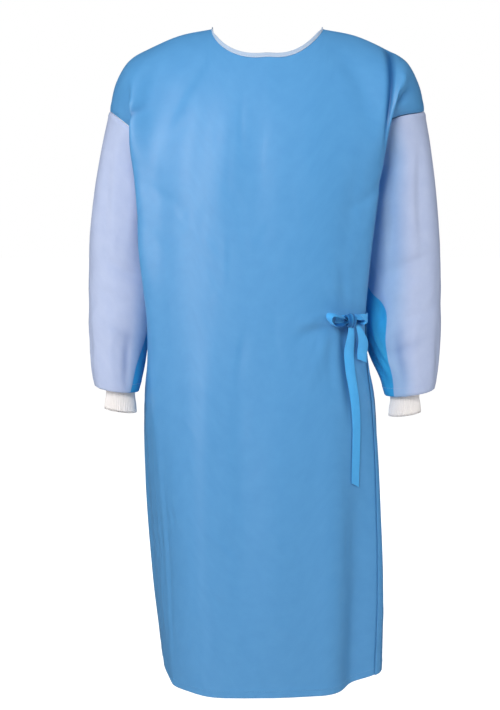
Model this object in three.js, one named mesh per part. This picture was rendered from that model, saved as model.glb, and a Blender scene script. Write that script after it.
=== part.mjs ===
// A wrap-around surgical gown in the hollow shape that it has when it is worn, with no wearer in it.
// Millimetres, +Z up. The front faces -Y and the wearer's left is +X. The origin lies midway between the
// neck ends of the two shoulder seams, where the wearer's shoulders carry the gown.
// The body is one surface, reached by two numbers. The turn goes round the wearer in degrees: 0 is the
// middle of the front, 90 the left side, 180 the middle of the back and 270 (or -90) the right side. The
// level goes down: 0 is the shoulder seam and neckline, 1 the chest at the underarm, and 2 the hem.
import * as THREE from "three";

// Driving dimensions
const CLOTH = 1.5; // wall of the body and sleeve panels
const KNIT = 2.2; // wall of the cuffs
const SEAM_GAP = 0.3; // between two pieces that are sewn to each other
const LAP_GAP = 3.6; // between the wrap and the panel that it hangs over
const LENGTH = 1190; // top of the shoulder to the hem
const UNDERARM = 228; // top of the shoulder to the underarm
const CHEST_FRONT = 300; // top of the shoulder to the chest level at the middle of the front
const CHEST_BACK = 285;
const NECK_HALF = 99; // half the neck opening's width
const NECK_SWEEP = { front: 34, back: 30 }; // degrees that the neckline lies down the shoulder's curve
const NECK_RISE = 15; // how much higher the shoulder line would be at the middle of the neck
const NECK_EASE = { right: 0.8, left: 1.2 }; // how soon the front neckline rises to each shoulder
const SEAM_Y = 8; // shoulder seam's depth at the neck
const BINDING = { height: 6, wall: 2 };
const BINDING_LEAN = { side: 0.35, ahead: 0.3 }; // how far it leans to the neck as it rises
const ARMHOLE_DEPTH = 61; // half the armhole from front to back
const ARMHOLE_RISE = 26; // lifts the left armhole at its front
const ARM_Y = 24; // depth at which the arm hangs
const ARM_REACH = 63; // half the width of the dent that the arm presses in the side
const SIDE_Y = 12; // depth of the side seams
const CUFF = { visible: 42, tucked: 4, halfWidth: 28, halfDepth: 26 };
const STRAP = { width: 18, wall: 1.2 };
const ARMHOLE_GAP = 0.4; // between the body and a sleeve
const UNDERARM_GAP = 2.4; // the same where the two walls turn back to back
const FACET_SPARE = 1.1; // room for the flat facets beneath a strap

// How finely the cloth is faceted
const YOKE_ROWS = 10; // shoulder seam to chest
const SIDE_ROWS = 7; // chest to waist, where the wrap's edge slants round the side
const SKIRT_ROWS = 8; // waist to hem
const WAIST_LEVEL = 1.3;
const COLUMNS = {
  front: { shoulder: 8, neck: 8 },
  under: { shoulder: 7, neck: 6 },
  wrap: { shoulder: 13, neck: 8 },
};
const SLEEVE_ROWS = 10;

// Share of a row, from its middle out, that is neckline. The rest is shoulder seam.
const NECK_SHARE = 0.3;
// Share of a row from which the cloth is drawn out to the armhole
const ARMHOLE_DRAW = 0.42;
// Share of the yoke's fall that is an even slope. The rest is round.
const YOKE_SLOPE = 0.3;

// The shoulder seam from the neck to the cap's edge
const SHOULDER = [
  { share: 0.0, x: 99, z: -3 },
  { share: 0.27, x: 158, z: -14 },
  { share: 0.52, x: 212, z: -36 },
  { share: 0.7, x: 249, z: -58 },
  { share: 0.85, x: 273, z: -97 },
  { share: 1.0, x: 286, z: -146 },
];

// The body's level rings: reach from the middle to the wearer's right and left, depth to the front and
// back, how square the ring is, and the share of the reach that the hanging arm presses in
const TORSO = [
  { z: -150, right: 252, left: 240, front: 108, back: 92, square: 2.9, dentRight: 0.27, dentLeft: 0.25 },
  { z: -230, right: 243, left: 222, front: 116, back: 98, square: 2.8, dentRight: 0.25, dentLeft: 0.19 },
  { z: -305, right: 233, left: 203, front: 122, back: 102, square: 2.8, dentRight: 0.2, dentLeft: 0.13 },
  { z: -485, right: 228, left: 182, front: 128, back: 108, square: 2.8, dentRight: 0.12, dentLeft: 0.07 },
  { z: -560, right: 230, left: 182, front: 130, back: 112, square: 2.8, dentRight: 0.06, dentLeft: 0.04 },
  { z: -665, right: 237, left: 197, front: 134, back: 116, square: 2.8, dentRight: 0.0, dentLeft: 0.0 },
  { z: -845, right: 242, left: 209, front: 139, back: 122, square: 2.8, dentRight: 0.0, dentLeft: 0.0 },
  { z: -1027, right: 232, left: 219, front: 144, back: 128, square: 2.8, dentRight: 0.0, dentLeft: 0.0 },
  { z: -1190, right: 214, left: 219, front: 149, back: 134, square: 2.7, dentRight: 0.0, dentLeft: 0.0 },
];

// Where the hem is drawn up by the wrap's free edge or hangs lower, half the width of that in degrees, and how far
const HEM_BENDS = [
  { turn: 72, spread: 20, up: 15 },
  { turn: -60, spread: 20, up: -9 },
];

// The largest folds: where they lie, half their width in degrees, how far they stand out (or in, below
// zero), and the heights at which they start and are full
const FOLDS = [
  { turn: 47, spread: 15, out: -27, starts: -560, full: -1150 },
  { turn: 66, spread: 10, out: 7, starts: -540, full: -900 },
  { turn: 61, spread: 11, out: 8, starts: -210, full: -330 },
  { turn: 61, spread: 11, out: -8, starts: -520, full: -640 },
  { turn: -61, spread: 9, out: 20, starts: -150, full: -245 },
  { turn: -61, spread: 9, out: -17, starts: -380, full: -560 },
  { turn: -67, spread: 33, out: -38, starts: -450, full: -950 },
  { turn: -67, spread: 33, out: 12, starts: -960, full: -1190 },
  { turn: -22, spread: 11, out: 5, starts: -440, full: -900 },
  { turn: 12, spread: 13, out: -5, starts: -760, full: -1190 },
  { turn: 128, spread: 14, out: 12, starts: -420, full: -1100 },
  { turn: 158, spread: 13, out: -13, starts: -380, full: -1100 },
  { turn: 186, spread: 14, out: 12, starts: -450, full: -1150 },
  { turn: 214, spread: 13, out: -12, starts: -360, full: -1050 },
  { turn: 240, spread: 13, out: 11, starts: -480, full: -1100 },
];

// The free edges of the two back panels
const WRAP_EDGE = [
  { level: 0, turn: 171 },
  { level: 0.5, turn: 165 },
  { level: 1.0, turn: 142 },
  { level: 1.15, turn: 108 },
  { level: 1.28, turn: 74 },
  { level: 1.45, turn: 66 },
  { level: 2, turn: 63 },
];
const UNDER_EDGE = [
  { level: 0, turn: 188 },
  { level: 1, turn: 199 },
  { level: 2, turn: 204 },
];
// Degrees past the under panel's edge at which the wrap begins and ends its climb onto that panel
const WRAP_CLIMB = { begins: 20, ends: 5 };

// The sleeves' sections below the armhole: the middle, half the width and depth, and how much higher the
// outer side is than the inner, in degrees
const SLEEVE = {
  right: [
    { x: 252, y: 28, z: -240, width: 57, depth: 56, tilt: 27 },
    { x: 255, y: 31, z: -300, width: 64, depth: 58, tilt: 16 },
    { x: 263, y: 34, z: -370, width: 65, depth: 61, tilt: 9 },
    { x: 267, y: 31, z: -440, width: 64, depth: 62, tilt: 4 },
    { x: 270, y: 19, z: -510, width: 61, depth: 61, tilt: 3 },
    { x: 273, y: 6, z: -570, width: 55, depth: 56, tilt: 4 },
    { x: 276, y: -8, z: -620, width: 48, depth: 48, tilt: 6 },
    { x: 276, y: -17, z: -648, width: 41, depth: 41, tilt: 8 },
  ],
  left: [
    { x: 250, y: 28, z: -240, width: 56, depth: 56, tilt: 27 },
    { x: 250, y: 31, z: -300, width: 63, depth: 58, tilt: 16 },
    { x: 253, y: 34, z: -370, width: 67, depth: 61, tilt: 9 },
    { x: 255, y: 31, z: -440, width: 69, depth: 62, tilt: 4 },
    { x: 253, y: 18, z: -510, width: 71, depth: 62, tilt: 3 },
    { x: 252, y: 4, z: -570, width: 69.5, depth: 57, tilt: 4 },
    { x: 261, y: -12, z: -624, width: 54, depth: 49, tilt: 6 },
    { x: 262, y: -22, z: -654, width: 46, depth: 42, tilt: 8 },
  ],
};
// Creases across each sleeve: height of the middle, half the height, how far it is drawn in, the bearing
// of its deepest point (0 outside, 90 front, 180 inside) and half its width in degrees
const SLEEVE_CREASES = [
  { z: -432, spread: 26, depth: 3, bearing: 120, reach: 80 },
  { z: -500, spread: 22, depth: 2, bearing: 60, reach: 70 },
  { z: -575, spread: 20, depth: 2, bearing: 150, reach: 80 },
];
const SLEEVE_LIP = 5; // how far the turned-in end of the sleeve rises to the cuff
const CUFF_SHIFT = { right: -6, left: -8 }; // cuff's middle from the sleeve end's middle, away from the body
const CUFF_FLARE = 2; // how much wider the cuff's free edge is

// The bow that closes the wrap, beside the wrap's free edge
const KNOT = { turn: 42, z: -515, width: 17, height: 24, depth: 19, stands: 14.5 };
const LOOPS = [
  { name: "bow_loop_right", reach: 46, rise: 13, droop: 7, lean: 16 },
  { name: "bow_loop_left", reach: -28, rise: 8, droop: 1, lean: 28 },
];
const TAILS = [
  { name: "tie_tail_right", across: 4, sway: 7, length: 285, layer: 0 },
  { name: "tie_tail_left", across: 28, sway: 2, length: 62, layer: 2 },
];
const TAIL_FALL = 60; // length of a tail over which it falls from the knot to the cloth
const TAIL_PART = 40; // and over which the two tails part
const WRAP_TIE_END = 86; // turns at which the two ties are stitched down
const FRONT_TIE_END = 33;
const STRAP_PART = 0.2; // half the gap between the two ties under the knot, in degrees
const NECK_TAB = { from: 164, to: 177, top: 0.05, bottom: 0.15 };

const DEGREE = Math.PI / 180;

// Small helpers

function smoothstep(from, to, value) {
  const share = THREE.MathUtils.clamp((value - from) / (to - from), 0, 1);
  return share * share * (3 - 2 * share);
}

// The fall of a bell-shaped fold at a distance from its middle, as a share of its half width.
function bell(distance) {
  return Math.exp(-distance * distance);
}

function power(value, exponent) {
  return Math.sign(value) * Math.abs(value) ** exponent;
}

// A smooth curve through each column of a table, read at one value of its key column.
function readTable(table, key, value) {
  const rising = table[0][key] < table[table.length - 1][key] ? 1 : -1;
  let row = 0;
  while (row < table.length - 2 && rising * value > rising * table[row + 1][key]) row += 1;
  const [before, from, to, after] = [row - 1, row, row + 1, row + 2].map(
    (i) => table[THREE.MathUtils.clamp(i, 0, table.length - 1)],
  );
  const step = to[key] - from[key];
  const share = THREE.MathUtils.clamp((value - from[key]) / step, 0, 1);
  const read = {};
  for (const column of Object.keys(from)) {
    const slopeFrom = (to[column] - before[column]) / (to[key] - before[key]);
    const slopeTo = (after[column] - from[column]) / (after[key] - from[key]);
    read[column] = hermite(from[column], slopeFrom * step, to[column], slopeTo * step, share);
  }
  return read;
}

function hermite(from, runFrom, to, runTo, share) {
  const square = share * share;
  const cube = square * share;
  return (
    (2 * cube - 3 * square + 1) * from +
    (cube - 2 * square + share) * runFrom +
    (3 * square - 2 * cube) * to +
    (cube - square) * runTo
  );
}

function spaced(from, to, count) {
  return Array.from({ length: count + 1 }, (_, i) => from + ((to - from) * i) / count);
}

// The body's surface

// A point of the level ring at a height: a squared ellipse, pressed in where the arm hangs.
function ringPoint(turn, z) {
  const row = readTable(TORSO, "z", z);
  const across = Math.sin(turn * DEGREE);
  const ahead = Math.cos(turn * DEGREE);
  const exponent = 2 / row.square;
  const reach = across > 0 ? row.left : row.right;
  const depth = ahead > 0 ? row.front + SIDE_Y : row.back - SIDE_Y;
  const dent = across > 0 ? row.dentLeft : row.dentRight;
  const y = SIDE_Y - depth * power(ahead, exponent);
  const pressed = 1 - dent * Math.exp(-(((y - ARM_Y) / ARM_REACH) ** 4));
  const x = reach * power(across, exponent) * pressed;
  const out = foldsAt(turn, z);
  return new THREE.Vector3(x + across * out, y - ahead * out, z);
}

function foldsAt(turn, z) {
  let out = 0;
  for (const fold of FOLDS) {
    const apart = THREE.MathUtils.euclideanModulo(turn - fold.turn + 180, 360) - 180;
    out += fold.out * bell(apart / fold.spread) * smoothstep(fold.starts, fold.full, z);
  }
  return out;
}

// The height of the chest level, which dips at the front and back.
function chestAt(turn) {
  const ahead = Math.cos(turn * DEGREE);
  const dip = (ahead > 0 ? CHEST_FRONT : CHEST_BACK) - UNDERARM;
  return -UNDERARM - dip * ahead * ahead;
}

function hemAt(turn) {
  let z = -LENGTH;
  for (const bend of HEM_BENDS) z += bend.up * bell((turn - bend.turn) / bend.spread);
  return z;
}

// The skirt: from the chest level down to the hem.
function skirtPoint(turn, level) {
  return ringPoint(turn, THREE.MathUtils.lerp(chestAt(turn), hemAt(turn), level - 1));
}

// The line of the shoulders. The place runs along it from -1 at the right armhole to 1 at the left one,
// and between the two shoulder seams the line crosses the neck. The start is how far down the yoke's
// curve, in degrees, the cloth begins: at the neckline. The face is "front" or "back".
function shoulderLine(place, face) {
  const side = place < 0 ? -1 : 1;
  const out = Math.abs(place);
  if (out < NECK_SHARE) {
    const around = (out / NECK_SHARE) * (Math.PI / 2);
    const x = NECK_HALF * power(Math.sin(around), 0.85);
    const z = SHOULDER[0].z + NECK_RISE * (1 - x / NECK_HALF);
    const ease = face === "front" && side > 0 ? NECK_EASE.left : NECK_EASE.right;
    const start = NECK_SWEEP[face] * power(Math.cos(around), ease);
    return { point: new THREE.Vector3(side * x, SEAM_Y, z), start };
  }
  const share = (out - NECK_SHARE) / (1 - NECK_SHARE);
  const row = readTable(SHOULDER, "share", share);
  const y = THREE.MathUtils.lerp(SEAM_Y, ARM_Y, share);
  return { point: new THREE.Vector3(side * row.x, y, row.z), start: 0 };
}

function turnAt(place, face) {
  return face === "front" ? 90 * place : 180 - 90 * place;
}

// The armhole is a tilted oval from the cap's edge down to the underarm. The level runs half round it.
// The left one is lifted at its front, most of all below its middle.
function armholePoint(side, face, level) {
  const top = shoulderLine(side, face).point;
  const bottom = skirtPoint(90 * side, 1);
  const around = level * Math.PI;
  const ahead = face === "front" ? -1 : 1;
  const middle = top.clone().lerp(bottom, 0.5);
  const point = middle.addScaledVector(top.clone().sub(bottom), 0.5 * Math.cos(around));
  point.y += ahead * ARMHOLE_DEPTH * Math.sin(around);
  if (side > 0 && face === "front") point.z += ARMHOLE_RISE * Math.sin(around) * (1 - Math.cos(around));
  return point;
}

// The yoke runs from the shoulder seam and neckline over the shoulder to the chest, and its outer part is
// drawn to the armhole.
function yokePoint(place, level, face) {
  const side = place < 0 ? -1 : 1;
  const drawn = smoothstep(ARMHOLE_DRAW, 1, Math.abs(place));
  const point = yokeCurve(place, level, face);
  const pull = armholePoint(side, face, level).sub(yokeCurve(side, level, face));
  return point.addScaledVector(pull, drawn);
}

// A curve from the shoulder line out and down to the chest. It ends in the direction of the skirt.
function yokeCurve(place, level, face) {
  const turn = turnAt(place, face);
  const { point, start } = shoulderLine(place, face);
  const chest = skirtPoint(turn, 1);
  const sweep = THREE.MathUtils.lerp(start, 90, level) * DEGREE;
  const fall = YOKE_SLOPE * (sweep / (90 * DEGREE)) + (1 - YOKE_SLOPE) * (1 - Math.cos(sweep));
  const drop = chest.z - point.z;
  const curve = new THREE.Vector3(
    THREE.MathUtils.lerp(point.x, chest.x, smoothstep(0, 1, level)),
    THREE.MathUtils.lerp(point.y, chest.y, Math.sin(sweep)),
    point.z + drop * fall,
  );
  const below = skirtPoint(turn, 1.01).sub(chest);
  const speed = drop * ((YOKE_SLOPE * 2) / Math.PI + 1 - YOKE_SLOPE) * (90 - start) * DEGREE;
  const turnIn = below.multiplyScalar(speed / below.z).setZ(0);
  return curve.addScaledVector(turnIn, level * level * (level - 1));
}

function bodyPoint(turn, level, face) {
  if (level >= 1) return skirtPoint(turn, level);
  const place = face === "front" ? turn / 90 : (180 - turn) / 90;
  return yokePoint(THREE.MathUtils.clamp(place, -1, 1), level, face);
}

// The body's outward direction, and a point lifted off its surface.
function bodyOutward(turn, level, face) {
  const wide = 0.4;
  const tall = 0.004;
  const across = bodyPoint(turn + wide, level, face).sub(bodyPoint(turn - wide, level, face));
  const top = Math.max(level - tall, 0);
  const down = bodyPoint(turn, Math.min(level + tall, 2), face).sub(bodyPoint(turn, top, face));
  return down.cross(across).normalize();
}

function liftedPoint(turn, level, face, lift) {
  const point = bodyPoint(turn, level, face);
  return lift === 0 ? point : point.addScaledVector(bodyOutward(turn, level, face), lift);
}

// Cloth walls

// A closed wall whose outer side passes through rows of points, top row first, each row running round
// the wearer from the front by the left to the back. Flip it where the rows run the other way.
function clothWall(rows, thickness, { closed = false, flip = false, outward } = {}) {
  const tall = rows.length;
  const wide = rows[0].length;
  const at = (i, j) => rows[THREE.MathUtils.clamp(i, 0, tall - 1)][
    closed ? (j + wide) % wide : THREE.MathUtils.clamp(j, 0, wide - 1)
  ];
  const positions = [];
  const inner = [];
  for (let i = 0; i < tall; i += 1) {
    for (let j = 0; j < wide; j += 1) {
      const down = at(i + 1, j).clone().sub(at(i - 1, j));
      const across = at(i, j + 1).clone().sub(at(i, j - 1));
      const natural = down.cross(across).normalize().multiplyScalar(flip ? -1 : 1);
      const normal = (outward && outward(i, j)) || natural;
      positions.push(...at(i, j).toArray());
      inner.push(...at(i, j).clone().addScaledVector(normal, -thickness).toArray());
    }
  }
  const triangles = [];
  const quad = (a, b, c, d) => triangles.push(a, b, c, a, c, d);
  const outerAt = (i, j) => i * wide + (j % wide);
  const innerAt = (i, j) => tall * wide + outerAt(i, j);
  const spans = closed ? wide : wide - 1;
  for (let j = 0; j < spans; j += 1) {
    for (let i = 0; i < tall - 1; i += 1) {
      quad(outerAt(i, j), outerAt(i + 1, j), outerAt(i + 1, j + 1), outerAt(i, j + 1));
      quad(innerAt(i, j), innerAt(i, j + 1), innerAt(i + 1, j + 1), innerAt(i + 1, j));
    }
    quad(outerAt(0, j), outerAt(0, j + 1), innerAt(0, j + 1), innerAt(0, j));
    quad(outerAt(tall - 1, j + 1), outerAt(tall - 1, j), innerAt(tall - 1, j), innerAt(tall - 1, j + 1));
  }
  for (let i = 0; i < tall - 1 && !closed; i += 1) {
    quad(outerAt(i + 1, 0), outerAt(i, 0), innerAt(i, 0), innerAt(i + 1, 0));
    quad(outerAt(i, spans), outerAt(i + 1, spans), innerAt(i + 1, spans), innerAt(i, spans));
  }
  if (flip) triangles.reverse();
  const geometry = new THREE.BufferGeometry();
  geometry.setAttribute("position", new THREE.Float32BufferAttribute([...positions, ...inner], 3));
  geometry.setIndex(triangles);
  geometry.computeVertexNormals();
  return geometry;
}

function cloth(name, colour, roughness = 0.8) {
  return new THREE.MeshStandardMaterial({ name, color: colour, roughness, metalness: 0 });
}

const BODY_BLUE = cloth("body_nonwoven", 0x64a2d8);
const SLEEVE_BLUE = cloth("sleeve_nonwoven", 0xb9c6e4);
const TIE_BLUE = cloth("tie_nonwoven", 0x3f92cc);
const WHITE_KNIT = cloth("white_knit", 0xeeeceb, 0.95);
const WHITE_TAPE = cloth("white_tape", 0xe4eaf2, 0.85);

const gown = new THREE.Group();

function addPiece(name, geometry, material, parent = gown) {
  const piece = new THREE.Mesh(geometry, material);
  piece.name = name;
  parent.add(piece);
}

// Body panels

const LEVELS = [
  ...spaced(0, 1, YOKE_ROWS),
  ...spaced(1, WAIST_LEVEL, SIDE_ROWS).slice(1),
  ...spaced(WAIST_LEVEL, 2, SKIRT_ROWS).slice(1),
];

// Half a seam's gap, as degrees of turn on the body's side.
const SEAM_TURN = SEAM_GAP / 2 / (TORSO[0].front * DEGREE);

// The top row's places on each panel, in order round the wearer. The neck's end of a shoulder seam is
// always one of them, so that the binding meets every panel corner for corner.
const WRAP_CORNER = (180 - WRAP_EDGE[0].turn) / 90;
const UNDER_CORNER = (180 - UNDER_EDGE[0].turn) / 90;
const PLACES = {
  front: [
    ...spaced(-1, -NECK_SHARE, COLUMNS.front.shoulder),
    ...spaced(-NECK_SHARE, NECK_SHARE, COLUMNS.front.neck).slice(1),
    ...spaced(NECK_SHARE, 1, COLUMNS.front.shoulder).slice(1),
  ],
  under: [
    ...spaced(1, NECK_SHARE, COLUMNS.under.shoulder),
    ...spaced(NECK_SHARE, UNDER_CORNER, COLUMNS.under.neck).slice(1),
  ],
  wrap: [
    ...spaced(WRAP_CORNER, -NECK_SHARE, COLUMNS.wrap.neck),
    ...spaced(-NECK_SHARE, -1, COLUMNS.wrap.shoulder).slice(1),
  ],
};

// A panel between two edges, each a function from level to turn. Its shoulder seam leans neither to the
// front nor to the back, so that the two panels meet face to face there.
function bodyPanel(face, places, edgeFrom, edgeTo, lift = () => 0) {
  const shares = places.map((place) => (turnAt(place, face) - edgeFrom(0)) / (edgeTo(0) - edgeFrom(0)));
  const rows = LEVELS.map((level) =>
    shares.map((share) => {
      const turn = THREE.MathUtils.lerp(edgeFrom(level), edgeTo(level), share);
      return liftedPoint(turn, level, face, lift(turn, level));
    }),
  );
  for (const point of rows[0]) point.y += (face === "front" ? -0.5 : 0.5) * SEAM_GAP;
  const seamOutward = (i, j) => {
    const place = places[j];
    if (i > 0 || Math.abs(place) < NECK_SHARE) return undefined;
    const along = shoulderLine(place, face).point.sub(shoulderLine(place * 0.98, face).point);
    return new THREE.Vector3(-along.z, 0, along.x).multiplyScalar(Math.sign(place)).normalize();
  };
  return clothWall(rows, CLOTH, { outward: seamOutward });
}

function sideSeam(turn, inset) {
  return (level) => (level < 1 ? turn : turn + inset);
}

function wrapEdge(level) {
  return readTable(WRAP_EDGE, "level", level).turn;
}

function underEdge(level) {
  return readTable(UNDER_EDGE, "level", level).turn;
}

function wrapLift(turn, level) {
  const edge = underEdge(level);
  return (CLOTH + LAP_GAP) * smoothstep(edge + WRAP_CLIMB.begins, edge + WRAP_CLIMB.ends, turn);
}

function buildBody() {
  const right = sideSeam(-90, SEAM_TURN);
  const left = sideSeam(90, -SEAM_TURN);
  const leftBack = sideSeam(90, SEAM_TURN);
  const rightBack = sideSeam(270, -SEAM_TURN);
  addPiece("front", bodyPanel("front", PLACES.front, right, left), BODY_BLUE);
  addPiece("back_under", bodyPanel("back", PLACES.under, leftBack, underEdge), BODY_BLUE);
  addPiece("back_wrap", bodyPanel("back", PLACES.wrap, wrapEdge, rightBack, wrapLift), BODY_BLUE);
}

// Neck binding and neck tab

// The way up from the neckline: the binding leans in towards the neck all round.
function bindingUp(place, face) {
  const around = (Math.abs(place) / NECK_SHARE) * (Math.PI / 2);
  const ahead = face === "front" ? -1 : 1;
  const inward = -Math.sign(place) * BINDING_LEAN.side * Math.sin(around);
  return new THREE.Vector3(inward, -ahead * BINDING_LEAN.ahead * Math.cos(around), 1).normalize();
}

// The binding is one strip: from the wrap's free corner by the right shoulder, the front and the left
// shoulder to the under panel's free corner.
function buildBinding() {
  const onNeck = (place) => Math.abs(place) < NECK_SHARE + 1e-6;
  const stops = [
    ...PLACES.wrap.filter(onNeck).map((place) => ({ place, face: "back", wrap: true })),
    ...PLACES.front.filter(onNeck).slice(1).map((place) => ({ place, face: "front" })),
    ...PLACES.under.filter(onNeck).slice(1).map((place) => ({ place, face: "back" })),
  ];
  const rows = [1, 0].map((share) =>
    stops.map(({ place, face, wrap }) => {
      const turn = turnAt(place, face);
      const edge = liftedPoint(turn, 0, face, wrap ? wrapLift(turn, 0) : 0);
      return edge.addScaledVector(bindingUp(place, face), SEAM_GAP + share * BINDING.height);
    }),
  );
  addPiece("neck_binding", clothWall(rows, BINDING.wall), WHITE_TAPE);
}

// The tab lies across the wrap's free edge at the back of the neck.
function buildNeckTab() {
  const lift = CLOTH + LAP_GAP + SEAM_GAP + STRAP.wall;
  const rows = spaced(NECK_TAB.top, NECK_TAB.bottom, 2).map((level) =>
    spaced(NECK_TAB.from, NECK_TAB.to, 5).map((turn) => liftedPoint(turn, level, "back", lift)),
  );
  addPiece("neck_tab", clothWall(rows, STRAP.wall), WHITE_TAPE);
}

// Sleeves and cuffs

const AROUND = spaced(0, 2 * Math.PI, 2 * YOKE_ROWS).slice(0, -1);

function sleeveRing(side, row) {
  const lean = row.tilt * DEGREE;
  return AROUND.map((around) => {
    const drawnIn = creaseAt(row.z, around / DEGREE);
    const out = (row.width - drawnIn) * Math.cos(around);
    const ahead = (row.depth - drawnIn) * Math.sin(around);
    return new THREE.Vector3(
      side * (row.x + out * Math.cos(lean)),
      row.y - ahead,
      row.z + out * Math.sin(lean),
    );
  });
}

function creaseAt(z, bearing) {
  let depth = 0;
  for (const crease of SLEEVE_CREASES) {
    const apart = THREE.MathUtils.euclideanModulo(bearing - crease.bearing + 180, 360) - 180;
    depth += crease.depth * bell((z - crease.z) / crease.spread) * bell(apart / crease.reach);
  }
  return depth;
}

function armholeRing(side) {
  return AROUND.map((around) => {
    const half = around / Math.PI;
    return half <= 1 ? armholePoint(side, "front", half) : armholePoint(side, "back", 2 - half);
  });
}

// A cuff ring, set off from the middle of the sleeve's end.
function cuffRing(side, end, shift, rise, spare) {
  return sleeveRing(side, {
    ...end,
    x: end.x + shift,
    z: end.z + rise,
    width: CUFF.halfWidth + spare,
    depth: CUFF.halfDepth + spare,
  });
}

function buildSleeve(name, side) {
  const table = SLEEVE[name];
  const end = table[table.length - 1];
  const shift = CUFF_SHIFT[name];
  const heights = spaced(table[0].z, end.z, SLEEVE_ROWS);
  const rings = heights.map((z) => sleeveRing(side, readTable(table, "z", z)));
  const armhole = armholeRing(side);
  const middle = armhole[0].clone().lerp(armhole[YOKE_ROWS], 0.5);
  const top = armhole.map((point, j) => {
    const down = rings[0][j].clone().sub(point).setLength(ARMHOLE_GAP);
    const inward = middle.clone().sub(point).setLength(UNDERARM_GAP);
    return point.add(down).addScaledVector(inward, Math.max(0, -Math.cos(AROUND[j])));
  });
  const lip = cuffRing(side, end, shift, SLEEVE_LIP, SEAM_GAP);
  addPiece(
    `sleeve_${name}`,
    clothWall([top, ...rings, lip], CLOTH, { closed: true, flip: side > 0 }),
    SLEEVE_BLUE,
  );
  const cuff = [
    cuffRing(side, end, shift, SLEEVE_LIP + CUFF.tucked, 0),
    cuffRing(side, end, shift, SLEEVE_LIP, 0),
    cuffRing(side, end, shift, -0.5 * CUFF.visible, 0),
    cuffRing(side, end, shift, -CUFF.visible, CUFF_FLARE),
  ];
  addPiece(`cuff_${name}`, clothWall(cuff, KNIT, { closed: true, flip: side > 0 }), WHITE_KNIT);
}

// The tie and its bow

function levelAt(turn, z) {
  const chest = chestAt(turn);
  return 1 + (z - chest) / (hemAt(turn) - chest);
}

function onSkirt(turn, z, lift) {
  return liftedPoint(turn, levelAt(turn, z), "front", lift);
}

// A strap along the body at one height. The lift is a function of the turn.
function bodyStrap(name, from, to, steps, lift) {
  const rows = [0.5, -0.5].map((share) =>
    spaced(from, to, steps).map((turn) => onSkirt(turn, KNOT.z + share * STRAP.width, lift(turn))),
  );
  addPiece(name, clothWall(rows, STRAP.wall), TIE_BLUE);
}

function buildTies() {
  const onFront = SEAM_GAP + STRAP.wall;
  const onWrap = CLOTH + LAP_GAP + SEAM_GAP + FACET_SPARE + STRAP.wall;
  const underKnot = KNOT.stands - KNOT.depth / 2 - SEAM_GAP;
  const { turn: middle } = KNOT;
  bodyStrap("tie_front", FRONT_TIE_END, middle - STRAP_PART, 4, (turn) =>
    THREE.MathUtils.lerp(onFront, underKnot, smoothstep(FRONT_TIE_END, middle, turn)),
  );
  bodyStrap("tie_wrap", middle + STRAP_PART, WRAP_TIE_END, 9, (turn) =>
    THREE.MathUtils.lerp(underKnot, onWrap, smoothstep(middle, WRAP_TIE_END - 18, turn)),
  );
  for (const tail of TAILS) buildTail(tail);
  buildBow();
}

// A tail leaves the knot's underside and falls along the front.
function buildTail({ name, across, sway, length, layer }) {
  const perDegree = onSkirt(KNOT.turn + 0.5, KNOT.z, 0).distanceTo(onSkirt(KNOT.turn - 0.5, KNOT.z, 0));
  const top = KNOT.z - KNOT.height / 2 - SEAM_GAP;
  const resting = SEAM_GAP + FACET_SPARE + STRAP.wall;
  const rows = spaced(0, 1, 7).map((share) => {
    const fallen = share * length;
    const lift = layer + THREE.MathUtils.lerp(KNOT.stands, resting, smoothstep(0, TAIL_FALL, fallen));
    const middle = across * smoothstep(-TAIL_PART, TAIL_PART, fallen) + sway * share;
    return [-0.5, 0.5].map((edge) => {
      const turn = KNOT.turn + (middle + edge * STRAP.width) / perDegree;
      return onSkirt(turn, top - share * length, lift);
    });
  });
  addPiece(name, clothWall(rows, STRAP.wall), TIE_BLUE);
}

// The bow stands on the front at the knot, its own X along the waist and its own Y out from the body.
function buildBow() {
  const outward = bodyOutward(KNOT.turn, levelAt(KNOT.turn, KNOT.z), "front").setZ(0).normalize();
  const bow = new THREE.Group();
  bow.position.copy(onSkirt(KNOT.turn, KNOT.z, 0)).addScaledVector(outward, KNOT.stands);
  bow.rotation.z = Math.atan2(outward.y, outward.x) - Math.PI / 2;
  const knot = new THREE.SphereGeometry(0.5, 14, 8);
  knot.scale(KNOT.width, KNOT.depth, KNOT.height);
  addPiece("tie_knot", knot, TIE_BLUE, bow);
  for (const loop of LOOPS) addPiece(loop.name, bowLoop(loop), TIE_BLUE, bow);
  gown.add(bow);
}

// A loop of strap: a flat oval ring from the knot's side out, its width leaning down towards the viewer.
function bowLoop({ reach, rise, droop, lean }) {
  const side = Math.sign(reach);
  const start = side * (KNOT.width / 2 + SEAM_GAP);
  const width = new THREE.Vector3(0, Math.cos(lean * DEGREE), -Math.sin(lean * DEGREE));
  const rows = [-0.5, 0.5].map((edge) =>
    spaced(0, 2 * Math.PI, 16).slice(0, -1).map((around) => {
      const out = (1 - Math.cos(around)) / 2;
      const point = new THREE.Vector3(
        THREE.MathUtils.lerp(start, reach, out),
        0,
        rise * Math.sin(around) + droop * out * out,
      );
      return point.addScaledVector(width, edge * STRAP.width);
    }),
  );
  return clothWall(rows, STRAP.wall, { closed: true, flip: side > 0 });
}

buildBody();
buildBinding();
buildNeckTab();
buildSleeve("right", -1);
buildSleeve("left", 1);
buildTies();

export default gown;
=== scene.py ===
# A wrap-around surgical gown of blue nonwoven cloth, in the hollow shape that it has when it is worn.
# The front faces -Y and the wearer's left is +X. Lengths are in millimetres, and each mesh is put into
# metres as it is made. The body is one surface, reached by two numbers: the turn round the wearer in
# degrees (0 front, 90 left side, 180 back, 270 or -90 right side) and the level down it (0 shoulder seam
# and neckline, 1 chest at the underarm, 2 hem).
import math
from collections import namedtuple

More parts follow.
